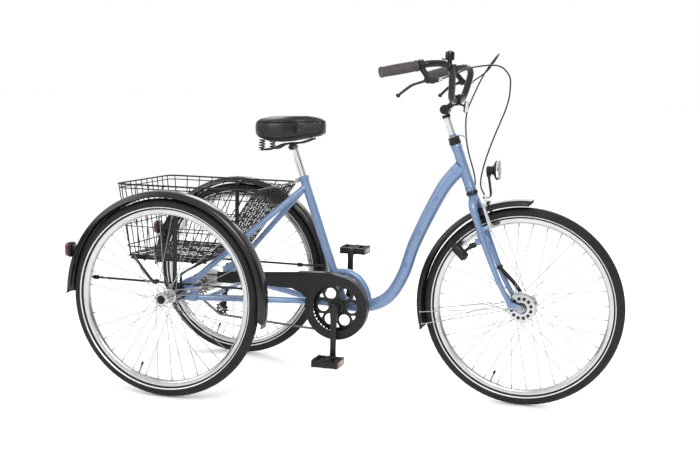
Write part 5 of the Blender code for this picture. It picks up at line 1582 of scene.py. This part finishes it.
LEVER_PIVOT, LEVER_TIP, LEVER_NOSE = (0.838, 0.281, 1.06), (0.764, 0.318, 1.013), (0.88, 0.283, 1.063)


def make_brake_levers():
    """Clamped lever mounts with their barrel adjusters, and the levers that pivot in them."""
    for side, word in SIDES:
        start, out = grip_axis(side)
        collar = start - out * 0.013
        hinge, tip, nose = (place(x, y * side, z) for x, y, z in (LEVER_PIVOT, LEVER_TIP, LEVER_NOSE))
        pull = (tip - hinge).normalized()
        swing = pull.cross(out).normalized()
        drop = hinge - collar
        across_bar = (drop - out * drop.dot(out)).normalized()
        bm = bmesh.new()
        add_turned(bm, mirrored([(0.0114, -0.008), (0.0162, -0.008), (0.017, -0.007)]), collar, out, 36,
                closed=True)
        route = smooth_route([collar + across_bar * 0.015, hinge + (nose - hinge) * 0.42,
                hinge.lerp(nose, 0.75), nose], 7)
        add_tube(bm, route, 0.008, 22, lambda t: 1.12 - 0.2 * t + 0.1 * math.sin(math.pi * t))
        add_turned(bm, mirrored([(0, -0.0088), (0.0078, -0.0088), (0.0086, -0.0078)]),
                hinge + (nose - hinge) * 0.16, swing, 28)
        piece(f"lever_mount_{word}", bm, BLACK_MOULDED, "steering",
                [f"brake_lever_mount_{word}"])
        bm = bmesh.new()
        ahead = (nose - hinge).normalized()
        add_turned(bm, [(0.0026, 0), (0.0056, 0), (0.006, 0.001), (0.006, 0.007), (0.005, 0.008),
                (0.004, 0.012),
                (0.0026, 0.012)], nose - ahead * 0.001, ahead, 12, closed=True)
        add_bolt(bm, hinge + (nose - hinge) * 0.16 + swing * 0.0084, swing, 0.006, 0.0018)
        add_bolt(bm, collar - across_bar * 0.0164, -across_bar, 0.006, 0.003)
        piece(f"lever_fittings_{word}", bm, ZINC, "steering")
        bend = hinge.lerp(tip, 0.48) + Vector((0, 0, 0.008))
        route = smooth_route([hinge + pull * 0.004, hinge.lerp(bend, 0.5), bend,
                bend.lerp(tip, 0.5) + Vector((0, 0, 0.001)),
                tip], 6)
        bm = bmesh.new()
        sections = []
        for number, point in enumerate(route):
            share = number / (len(route) - 1)
            deep = heading(route, number).cross(swing).normalized()
            wide = 0.0066 - 0.0012 * share
            sections.append(oval(point, swing, deep, wide, 0.004 - 0.0006 * share, 20, 3.0))
        add_loft(bm, sections)
        rounded = mirrored([(0, -0.0064), (0.0046, -0.006), (0.0062, -0.004)], 0.0064)
        add_turned(bm, rounded, tip, swing, 24)
        piece(f"lever_blade_{word}", bm, BLACK_PAINT, f"{word}_brake_lever",
                [f"brake_lever_{word}"])


def make_headlight():
    """Headlight: narrow body, flared housing, chrome rim, faceted reflector, glass and arm."""
    axis = Vector((1, 0, 0.05)).normalized()
    base = place(0.993, 0, 0.775)
    bm = bmesh.new()
    add_turned(bm, [(0, 0.0), (0.0112, 0.0), (0.013, 0.0018), (0.0136, 0.017), (0.0165, 0.023),
            (0.027, 0.0284),
            (0.0338, 0.033), (0.0346, 0.035), (0.0346, 0.0385), (0.033, 0.0385), (0.0322, 0.0345),
            (0.025, 0.03), (0, 0.0225)], base, axis, 48)
    add_block(bm, place(1.001, 0, 0.76), (0.015, 0.013, 0.012), bevel=0.003)
    for step in range(3):
        add_washer(bm, 0.0128, 0.0142, 0.0014, base + axis * (0.004 + step * 0.0042), axis, 40)
    piece("headlight_housing", bm, BLACK_MOULDED, "steering", ["headlight"])
    bm = bmesh.new()
    add_turned(bm, [(0.033, 0.0368), (0.0358, 0.0364), (0.036, 0.0405), (0.0346, 0.0426), (0.033, 0.0426)],
            base, axis, 64,
            closed=True)
    add_turned(bm, [(0.0326, 0.0386), (0.028, 0.033), (0.018, 0.0275), (0.007, 0.0248), (0, 0.0244),
            (0, 0.0238),
            (0.008, 0.0242), (0.019, 0.027), (0.0288, 0.0326), (0.0334, 0.0386)], base, axis, 24)
    add_turned(bm, [(0, 0.0244), (0.003, 0.0248), (0.0032, 0.031), (0.002, 0.033), (0, 0.0334)], base, axis,
            16)
    piece("headlight_reflector", bm, CHROME, "steering")
    bm = bmesh.new()
    add_turned(bm, [(0.0334, 0.039), (0.0334, 0.041), (0.028, 0.044), (0.018, 0.0462), (0, 0.047),
            (0, 0.0452),
            (0.018, 0.0444), (0.028, 0.0422), (0.0326, 0.0396)], base, axis, 48)
    lift = axis.cross(ACROSS)
    for number in range(11):
        across = (number - 5) * 0.005
        high = math.sqrt(0.03 ** 2 - across ** 2)
        face = base + axis * 0.044 + ACROSS * across
        add_tube(bm, [face - lift * high, face + lift * high], 0.0007, 6)
    piece("headlight_glass", bm, LAMP_GLASS, "steering")
    bm = bmesh.new()
    route = smooth_route([place(0.984, 0, 0.683), place(1.004, 0, 0.686), place(1.0105, 0, 0.695),
            place(1.0065, 0, 0.725), place(1.001, 0, 0.756)], 6)
    sections = []
    for number, point in enumerate(route):
        thick = 0.0018 + 0.002 * min(1, max(0, number - 8) / 6)
        sections.append(oval(point, ACROSS, ACROSS.cross(heading(route, number)), 0.0085, thick, 16, 4.0))
    add_loft(bm, sections)
    piece("headlight_arm", bm, BLACK_PAINT, "steering", ["headlight_bracket"])
    bm = bmesh.new()
    for side in BOTH:
        add_bolt(bm, place(1.001, side * 0.0062, 0.758), ACROSS * side, 0.007, 0.0034)
    add_bolt(bm, place(0.991, 0, 0.686), Vector((0.1, 0, 1)), 0.008, 0.004)
    piece("headlight_bolts", bm, DARK_STEEL, "steering")


def make_front_reflector():
    """Clear reflector on the front of the bar, and the cable guide at the headset."""
    face = place(0.917, 0, 0.98)
    ahead = Vector((1, 0, -0.1)).normalized()
    lift = ahead.cross(ACROSS)
    bm = bmesh.new()
    add_loft(bm, [oval(face + ahead * depth, ACROSS, lift, 0.025 * size, 0.019 * size, 40, 4.5)
            for depth, size in ((-0.004, 0.9), (-0.003, 1.0), (0.0012, 1.0), (0.0016, 0.97))])
    add_tube(bm, smooth_route([place(0.896, 0, 0.987), place(0.905, 0, 0.985), face - ahead * 0.003], 5),
            0.0035, 12)
    piece("front_reflector_back", bm, BLACK_MOULDED, "steering")
    bm = bmesh.new()
    add_loft(bm, [oval(face + ahead * depth, ACROSS, lift, 0.0238 * size, 0.0178 * size, 40, 4.5)
            for depth, size in ((0.0012, 1.0), (0.0032, 0.98), (0.0038, 0.93))])
    piece("front_reflector", bm, CLEAR, "steering")
    bm = bmesh.new()
    stop = place(0.916, 0.027, 0.88)
    add_washer(bm, 0.0133, 0.019, 0.0016, on_head(0.1862), HEAD_UP, 32)
    root = on_head(0.187, 0.018, 0.004)
    add_tube(bm, smooth_route([root, root.lerp(stop, 0.5) + UP * 0.001, stop - ACROSS * 0.004], 5), 0.0022,
            10)
    add_turned(bm, mirrored([(0.0027, -0.006), (0.0042, -0.006)]), stop,
            Vector((-0.1, 0, 1)),
            20, closed=True)
    piece("cable_guide_upper", bm, ZINC, "steering")


def make_rim_brake():
    """Two polished brake arms with pads and bolts, the booted wire across them and its curved pipe."""
    tops = {}
    for side, word in SIDES:
        hinge = on_head(BRAKE_BOSS_AT, 0.032, side * BRAKE_BOSS_Y)
        out = hinge - FRONT_AXLE + HEAD_UP * 0.022
        out.y = 0
        out.normalize()
        bm = bmesh.new()
        add_loft(bm, [oval(hinge + HEAD_UP * along, HEAD_FORWARD, ACROSS, wide, thick, 24, 3.4)
                for along, wide, thick in ((-0.0088, 0.0045, 0.0034), (-0.007, 0.0072, 0.0044),
                (0.0, 0.0086, 0.0048), (0.012, 0.0072, 0.0046), (0.03, 0.006, 0.0044),
                (0.058, 0.0054, 0.0042), (0.074, 0.0056, 0.0044), (0.08, 0.004, 0.0034))])
        pad = FRONT_AXLE + out * 0.2885 + ACROSS * side * 0.021
        add_rod(bm, pad + ACROSS * side * 0.004, pad + ACROSS * side * 0.033, 0.003, 16)
        add_turned(bm, [(0.003, 0), (0.007, 0), (0.0076, 0.003), (0.006, 0.0052), (0.003, 0.0052)],
                pad + ACROSS * side * 0.02, ACROSS * side, 24, closed=True)
        piece(f"rim_brake_arm_{word}", bm, ALLOY, f"{word}_brake_arm", [f"brake_arm_{word}"])
        bm = bmesh.new()
        along_rim = -ACROSS.cross(out)
        sections = []
        for share, tall, thick in ((-1.0, 0.003, 0.004), (-0.94, 0.0042, 0.0056), (-0.4, 0.0046, 0.006),
                (0.4, 0.0046, 0.006), (0.94, 0.0042, 0.0056), (1.0, 0.003, 0.004)):
            bend = -out * 0.0011 * (share ** 2)
            sections.append(oval(pad + along_rim * share * 0.026 + bend, ACROSS, out, thick, tall, 20, 3.6))
        add_loft(bm, sections)
        piece(f"rim_brake_pad_{word}", bm, GRIP_RUBBER, f"{word}_brake_arm")
        bm = bmesh.new()
        add_bolt(bm, hinge + HEAD_FORWARD * 0.006, HEAD_FORWARD, 0.0085, 0.0046)
        add_bolt(bm, pad + ACROSS * side * 0.032, ACROSS * side, 0.0085, 0.0046)
        top = hinge + HEAD_UP * 0.0735
        add_bolt(bm, top + HEAD_FORWARD * 0.0045, HEAD_FORWARD, 0.006, 0.0034)
        piece(f"rim_brake_bolts_{word}", bm, ZINC, f"{word}_brake_arm")
        tops[side] = top + HEAD_FORWARD * 0.007
    bm = bmesh.new()
    add_tube(bm, [tops[-1] - ACROSS * 0.004, tops[1] + ACROSS * 0.01], 0.0008, 8)
    for n in range(6):
        centre = tops[-1].lerp(tops[1], 0.34 + n * 0.065)
        add_turned(bm, mirrored([(0.001, -0.0022), (0.0034, -0.0026)], 0.0044), centre,
                ACROSS, 20, closed=True)
    piece("rim_brake_boot", bm, CABLE_COVER, "steering")
    bm = bmesh.new()
    cable_end = place(1.001, -0.05, 0.69)
    noodle = smooth_route([cable_end + Vector((-0.003, 0.0018, 0.006)),
            cable_end + Vector((0.001, -0.003, -0.005)),
            tops[-1] + Vector((0.0016, -0.016, 0.004)), tops[-1] + Vector((0.0006, -0.01, 0.0002)),
            tops[-1] + ACROSS * 0.006], 6)
    add_tube(bm, noodle, 0.0026, 14)
    piece("rim_brake_noodle", bm, CHROME, "right_brake_arm")


def make_hub_brake():
    """Axle, ribbed brake plate, reaction arm with its clip, lever and axle nuts."""
    plate = FRONT_AXLE + ACROSS * 0.0345
    bm = bmesh.new()
    add_turned(bm, [(0.005, 0), (0.0425, 0), (0.044, 0.0014), (0.044, 0.007), (0.042, 0.009),
            (0.034, 0.0096),
            (0.032, 0.011), (0.018, 0.011), (0.016, 0.0096), (0.012, 0.01), (0.01, 0.011),
            (0.005, 0.011)], plate, ACROSS, 64, closed=True)
    for number, a in enumerate(turns(8)):
        out = upright_way(a)
        add_block(bm, plate + ACROSS * 0.0098 + out * 0.025, (0.018, 0.0026, 0.003),
                UP.cross(out) if number % 2 else
                ACROSS, out, 0.0007, 1)
    route = smooth_route([place(1.118, 0.041, 0.37), place(1.09, 0.04, 0.405), place(1.048, 0.033, 0.448)],
            6)
    sections = []
    for number, point in enumerate(route):
        deep = heading(route, number).cross(ACROSS).normalized()
        sections.append(oval(point, ACROSS, deep, 0.003, 0.007, 18, 3.6))
    add_loft(bm, sections)
    add_block(bm, place(1.085, 0.0415, 0.346), (0.026, 0.0034, 0.008), Vector((0.5, 0, 1)), None, 0.001)
    piece("brake_plate", bm, BLACK_PAINT, "steering", ["hub_brake"])
    bm = bmesh.new()
    add_rod(bm, FRONT_AXLE - ACROSS * 0.072, FRONT_AXLE + ACROSS * 0.072, 0.005, 20)
    for side in BOTH:
        out = ACROSS * side
        add_washer(bm, 0.0052, 0.0105, 0.0014, FRONT_AXLE + out * 0.0602, out, 32)
        add_hex(bm, FRONT_AXLE + out * 0.0612, out, 0.015, 0.008)
        add_turned(bm, [(0.0054, 0), (0.008, 0), (0.0074, 0.009), (0.0054, 0.009)],
                FRONT_AXLE + out * 0.0445, out, 24,
                closed=True)
    piece("front_axle_fittings", bm, ZINC, "steering")
    bm = bmesh.new()
    grip_at = place(1.048, 0.033, 0.448)
    add_block(bm, grip_at + Vector((-0.004, 0.011, 0.003)), (0.02, 0.028, 0.011), HEAD_UP, HEAD_FORWARD,
            0.002)
    piece("reaction_arm_clip", bm, BLACK_PAINT, "steering")
    bm = bmesh.new()
    for turn in BOTH:
        add_washer(bm, 0.0145, 0.019, 0.0009, FRONT_AXLE + ACROSS * turn * 0.0334, ACROSS * turn, 48)
        for a in turns(12, 0.5):
            out = upright_way(a)
            add_block(bm, FRONT_AXLE + out * 0.0325 + ACROSS * turn * 0.0326, (0.0105, 0.01, 0.002),
                    ACROSS * turn, ACROSS.cross(out), 0.0005, 1)
    piece("front_hub_ring", bm, BLACK_PAINT, "front_wheel")


def make_dynamo():
    """Bottle dynamo: body, collar, roller, connectors and its sprung bracket."""
    low, high, tip = place(0.944, -0.053, 0.487), place(0.9065, -0.053, 0.5245), place(0.89, -0.053, 0.541)
    axis = (high - low).normalized()
    length = (high - low).length
    bm = bmesh.new()
    add_turned(bm, [(0, 0), (0.012, 0), (0.0148, 0.0018), (0.0158, 0.006), (0.0165, 0.0075),
            (0.0165, length - 0.008),
            (0.0154, length - 0.005), (0.013, length), (0.0105, length + 0.001), (0.0098, length + 0.008),
            (0, length + 0.008)], low, axis, 44)
    add_tube(bm, smooth_route([low.lerp(high, 0.4), place(0.95, -0.055, 0.518), place(0.96, -0.057, 0.526)],
            5),
            0.0055, 16)
    add_block(bm, place(0.966, -0.057, 0.531), (0.023, 0.005, 0.018), HEAD_UP, HEAD_FORWARD, 0.0014)
    piece("dynamo_body", bm, BLACK_MOULDED, "dynamo_bottle", ["dynamo"])
    bm = bmesh.new()
    add_washer(bm, 0.0102, 0.0168, 0.003, low + axis * (length - 0.015), axis, 36)
    add_turned(bm, [(0, -0.003), (0.007, -0.003), (0.0072, 0.0), (0, 0.0)], low, axis, 24)
    roller = (tip - high).length
    profile = [(0, roller - 0.015), (0.0085, roller - 0.015)]
    for rib in range(6):
        base = roller - 0.014 + rib * 0.0022
        profile += [(0.01, base), (0.0104, base + 0.0008), (0.0096, base + 0.0016)]
    profile += [(0.0085, roller - 0.0004), (0, roller)]
    add_turned(bm, profile, high, axis, 36)
    add_bolt(bm, place(0.97, -0.0592, 0.534), -ACROSS, 0.0075, 0.003)
    add_bolt(bm, place(0.995, -0.054, 0.549), -ACROSS, 0.008, 0.0034)
    piece("dynamo_metal", bm, DARK_STEEL, "dynamo_bottle")


RIM_CABLE = ((0.884, -0.283, 1.0635), (0.926, -0.208, 1.087), (0.962, -0.143, 1.106),
        (1.024, -0.064, 1.114),
        (1.056, -0.033, 1.088), (1.062, -0.022, 1.05), (1.052, -0.012, 0.986), (1.011, -0.006, 0.877),
        (0.985, -0.012, 0.79), (0.98, -0.03, 0.73), (1.001, -0.05, 0.69))
HUB_CABLE = ((0.884, 0.283, 1.0635), (0.94, 0.26, 1.103), (0.986, 0.205, 1.157), (0.984, 0.14, 1.143),
        (0.956, 0.086, 1.085), (0.924, 0.052, 1.0), (0.913, 0.034, 0.952), (0.915, 0.028, 0.89),
        (0.926, 0.027, 0.83), (0.95, 0.027, 0.75), (0.95, 0.05, 0.69), (0.964, 0.074, 0.61),
        (0.996, 0.075, 0.52), (1.025, 0.068, 0.44), (1.045, 0.052, 0.4), (1.065, 0.042, 0.37),
        (1.087, 0.0405, 0.345))


def make_cables():
    """Covered brake cables, their end ferrules and the clips on the blades."""
    metal = bmesh.new()
    for name, points in (("rim_brake", RIM_CABLE), ("hub_brake", HUB_CABLE)):
        route = smooth_route([place(*point) for point in points], 8)
        bm = bmesh.new()
        add_tube(bm, route, 0.0025, 14)
        piece(f"{name}_cable_cover", bm, CABLE_COVER, "steering", [f"{name}_cable"])
        for end, inner in ((route[0], route[1]), (route[-1], route[-2])):
            way = (inner - end).normalized()
            add_turned(metal, [(0.0025, 0.0), (0.0031, 0.0), (0.0033, 0.001), (0.0033, 0.0085),
                    (0.003, 0.0095),
                    (0.0025, 0.0095)], end - way * 0.0004, way, 16, closed=True)
    piece("cable_ferrules", metal, ZINC, "steering")
    bm = bmesh.new()
    for x, y, z, way in ((0.964, 0.074, 0.61, (0.32, 0.02, -0.9)), (0.996, 0.075, 0.52,
            (0.34, -0.04, -0.9)),
            (1.025, 0.068, 0.44, (0.4, -0.3, -0.8))):
        add_turned(bm, mirrored([(0.0026, -0.004), (0.004, -0.004)], 0.0042),
                place(x, y, z), Vector(way), 18, closed=True)
        add_block(bm, place(x, y, z) - ACROSS * 0.0055, (0.006, 0.008, 0.006), Vector(way), None, 0.001, 1)
    piece("cable_clips", bm, BLACK_MOULDED, "steering")


make_fork()
make_stem()
make_bar()
make_bell()
make_brake_levers()
make_headlight()
make_front_reflector()
make_rim_brake()
make_hub_brake()
make_dynamo()
make_cables()


# Seat ---------------------------------------------------------------------------------------
SADDLE_PLAN = ((0.198, 0.05), (0.21, 0.084), (0.25, 0.105), (0.3, 0.088), (0.35, 0.05), (0.405, 0.031),
        (0.44, 0.02))
SADDLE_SHRINK = 0.0045
SADDLE_SWELL_CAP = 0.006
SADDLE_SEED = 5
VOXEL = 0.0046
CLOTH_STEPS = 20
RING_PLACES = 120
PIPING_DROP, PIPING_RISE = 0.0185, 0.011
PAN_SHARE = 0.8
SPRING_TURNS, SPRING_STEPS = 3.5, 18
SPRING_RADIUS, SPRING_HEIGHT = 0.0094, 0.031


def saddle_top(x):
    """Height of the saddle's top, from the rear axle; it climbs a little towards the nose."""
    return 0.927 + (x - 0.188) * 0.03


def saddle_foot(x):
    """Height of the saddle's lower edge, which sweeps up to the back and to the nose."""
    return 0.843 + max(0, x - 0.3) * 0.19 + max(0, 0.262 - x) * 0.28


def end_round(x):
    """How far the saddle is rounded off at a place along it: 0.8 at its ends, 0 between them."""
    inward = min(x - SADDLE_PLAN[0][0], SADDLE_PLAN[-1][0] - x)
    return 0.8 - 0.8 * math.sqrt(min(1.0, max(0.0, inward) / 0.026))


def saddle_form():
    """Closed form of the saddle's padding, a little smaller than the finished pad."""
    bm = bmesh.new()
    stations = smooth_route([(x, half, 0) for x, half in SADDLE_PLAN], 6)
    sections = []
    for number, station in enumerate(stations):
        away = end_round(station.x)
        half = station.y * (1 - 0.2 * away) - SADDLE_SHRINK
        top = saddle_top(station.x) - SADDLE_SHRINK - 0.026 * away
        foot = saddle_foot(station.x) + SADDLE_SHRINK + 0.02 * away
        levels = [(1.0, 0.0), (0.997, 0.3), (0.985, 0.56), (0.945, 0.78), (0.86, 0.925), (0.7, 0.985),
                (0.45, 1.0),
                (0.22, 0.985), (0.08, 0.93), (0.0, 0.8), (0.0, 0.4)]
        left = [place(station.x, half * share, foot + (top - foot) * level) for level, share in levels]
        right = [Vector((point.x, -point.y, point.z)) for point in reversed(left[1:])]
        x_shift = {0: SADDLE_SHRINK, len(stations) - 1: -SADDLE_SHRINK}.get(number, 0)
        sections.append([point + FORWARD * x_shift for point in left + right])
    add_loft(bm, sections)
    bmesh.ops.recalc_face_normals(bm, faces=bm.faces)
    mesh = bpy.data.meshes.new("saddle_pad")
    bm.to_mesh(mesh)
    bm.free()
    obj = bpy.data.objects.new("saddle_pad", mesh)
    link(obj)
    return obj


def settle(obj):
    """Replace an object's mesh with its evaluated one and drop its modifiers."""
    bpy.context.view_layer.update()
    mesh = bpy.data.meshes.new_from_object(obj.evaluated_get(bpy.context.evaluated_depsgraph_get()))
    obj.modifiers.clear()
    old = obj.data
    obj.data = mesh
    bpy.data.meshes.remove(old)


def swell_pad(obj):
    """Let the padding swell under its cover as cloth, no further than a cap."""
    start = [vert.co.copy() for vert in obj.data.vertices]
    cloth = obj.modifiers.new("cloth", "CLOTH")
    cloth.settings.quality = 5
    cloth.settings.mass = 0.3
    cloth.settings.tension_stiffness = 25
    cloth.settings.compression_stiffness = 25
    cloth.settings.bending_stiffness = 4
    cloth.settings.use_pressure = True
    cloth.settings.uniform_pressure_force = 4
    cloth.settings.effector_weights.gravity = 0
    scene = bpy.context.scene
    for step in range(1, CLOTH_STEPS + 1):
        scene.frame_set(step)
    graph = bpy.context.evaluated_depsgraph_get()
    moved = [vert.co.copy() for vert in obj.evaluated_get(graph).data.vertices]
    obj.modifiers.clear()
    scene.frame_set(1)
    for vert, first, last in zip(obj.data.vertices, start, moved):
        shift = last - first
        vert.co = first + shift * min(1.0, SADDLE_SWELL_CAP / max(shift.length, 1e-9))


def ring_on(tree, height, outward):
    """Closed row of places on a surface at heights that vary with the place along X."""
    centre = place(0.3, 0, 0)
    ring = []
    for a in turns(RING_PLACES):
        way = Vector((math.cos(a), math.sin(a), 0))
        x = centre.x
        for _ in range(3):
            origin = Vector((centre.x, 0, height(x - REAR_AXLE.x)))
            hit, normal, _, _ = tree.ray_cast(origin, way)
            x = hit.x
        ring.append(hit + normal * outward)
    return ring


def make_saddle():
    """Vinyl saddle: swollen pad, piping round its top and foot, and moulded pan."""
    obj = saddle_form()
    remesh = obj.modifiers.new("remesh", "REMESH")
    remesh.mode = "VOXEL"
    remesh.voxel_size = VOXEL
    settle(obj)
    swell_pad(obj)
    smooth = obj.modifiers.new("smooth", "SMOOTH")
    smooth.factor = 0.5
    smooth.iterations = 3
    subdivide = obj.modifiers.new("subdivide", "SUBSURF")
    subdivide.levels = 1
    subdivide.render_levels = 1
    settle(obj)
    bm = bmesh.new()
    bm.from_mesh(obj.data)
    tree = BVHTree.FromBMesh(bm)
    rows = [(lambda x: saddle_top(x) - PIPING_DROP, 0.0014),
            (lambda x: saddle_foot(x) + PIPING_RISE, 0.0013)]
    rings = [ring_on(tree, height, 0.0004) for height, _ in rows]
    groove = KDTree(sum(len(ring) for ring in rings))
    for number, point in enumerate(point for ring in rings for point in ring):
        groove.insert(point, number)
    groove.balance()
    for vert in bm.verts:
        distance = groove.find(vert.co)[2]
        pucker = noise.noise(vert.co * 55 + Vector((SADDLE_SEED, 0, 0))) * 0.0004
        vert.co -= vert.normal * (0.0016 * math.exp(-(distance / 0.0042) ** 2) + pucker)
    bm.to_mesh(obj.data)
    bm.free()
    obj.data.materials.clear()
    obj.data.materials.append(VINYL)
    obj.data.shade_smooth()
    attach(obj, "seat")
    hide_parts("saddle")
    bm = bmesh.new()
    for ring, (_, radius) in zip(rings, rows):
        add_tube(bm, ring, radius, 10, closed=True)
    piece("saddle_piping", bm, THREAD, "seat")
    bm = bmesh.new()
    sections = []
    for station in smooth_route([(x, half, 0) for x, half in SADDLE_PLAN], 4)[1:-1]:
        base = saddle_foot(station.x) + 0.008 + 0.02 * end_round(station.x)
        half = station.y * PAN_SHARE
        sections.append([place(station.x, half * share, base - drop) for share, drop in
                ((1.0, -0.004), (0.96, 0.005), (0.6, 0.0078), (0.0, 0.008), (-0.6, 0.0078), (-0.96, 0.005),
                (-1.0, -0.004), (-0.5, -0.006), (0.5, -0.006))])
    add_loft(bm, sections)
    piece("saddle_pan", bm, BLACK_MOULDED, "seat")


def make_saddle_frame():
    """Rails, cross bar, coil springs, clamp and post."""
    bm = bmesh.new()
    for side in BOTH:
        route = smooth_route([place(0.396, side * 0.014, 0.8572), place(0.35, side * 0.02, 0.841),
                place(0.295, side * 0.022, 0.835), place(0.256, side * 0.04, 0.818),
                place(0.226, side * 0.052, 0.815)], 7)
        add_tube(bm, route, 0.0035, 16)
    add_rod(bm, place(0.226, -0.056, 0.8145), place(0.226, 0.056, 0.8145), 0.0035, 16)
    centre = on_seat(0.226) + Vector((-0.006, 0, 0.0102))
    for y in (-0.0175, 0.0175):
        add_turned(bm, mirrored([(0, -0.0065), (0.0088, -0.0065), (0.0098, -0.0055)]),
                centre + ACROSS * y, ACROSS, 32)
    add_turned(bm, mirrored([(0, -0.011), (0.009, -0.011), (0.0096, -0.01)]),
            centre, ACROSS, 32)
    piece("saddle_rails", bm, BLACK_PAINT, "seat", ["saddle_frame"])
    bm = bmesh.new()
    for side in BOTH:
        foot = place(0.226, side * 0.052, 0.816)
        coil = []
        for n in range(int(SPRING_TURNS * SPRING_STEPS) + 1):
            a = math.tau * n / SPRING_STEPS
            coil.append(foot + Vector((SPRING_RADIUS * math.cos(a), SPRING_RADIUS * math.sin(a),
                    SPRING_HEIGHT * n / (SPRING_TURNS * SPRING_STEPS))))
        add_tube(bm, coil, 0.0022, 8)
        add_washer(bm, 0, 0.011, 0.0016, foot - UP * 0.003, UP, 28)
        add_washer(bm, 0, 0.011, 0.0016, foot + UP * 0.0318, UP, 28)
        add_bolt(bm, centre + ACROSS * side * 0.0236, ACROSS * side, 0.01, 0.0044)
    piece("saddle_springs", bm, DARK_STEEL, "seat")
    bm = bmesh.new()
    add_rod(bm, on_seat(-0.09), on_seat(POST_TOP), 0.0127, 44)
    piece("seat_pillar", bm, CHROME, "seat", ["seat_post"])


make_saddle()
make_saddle_frame()
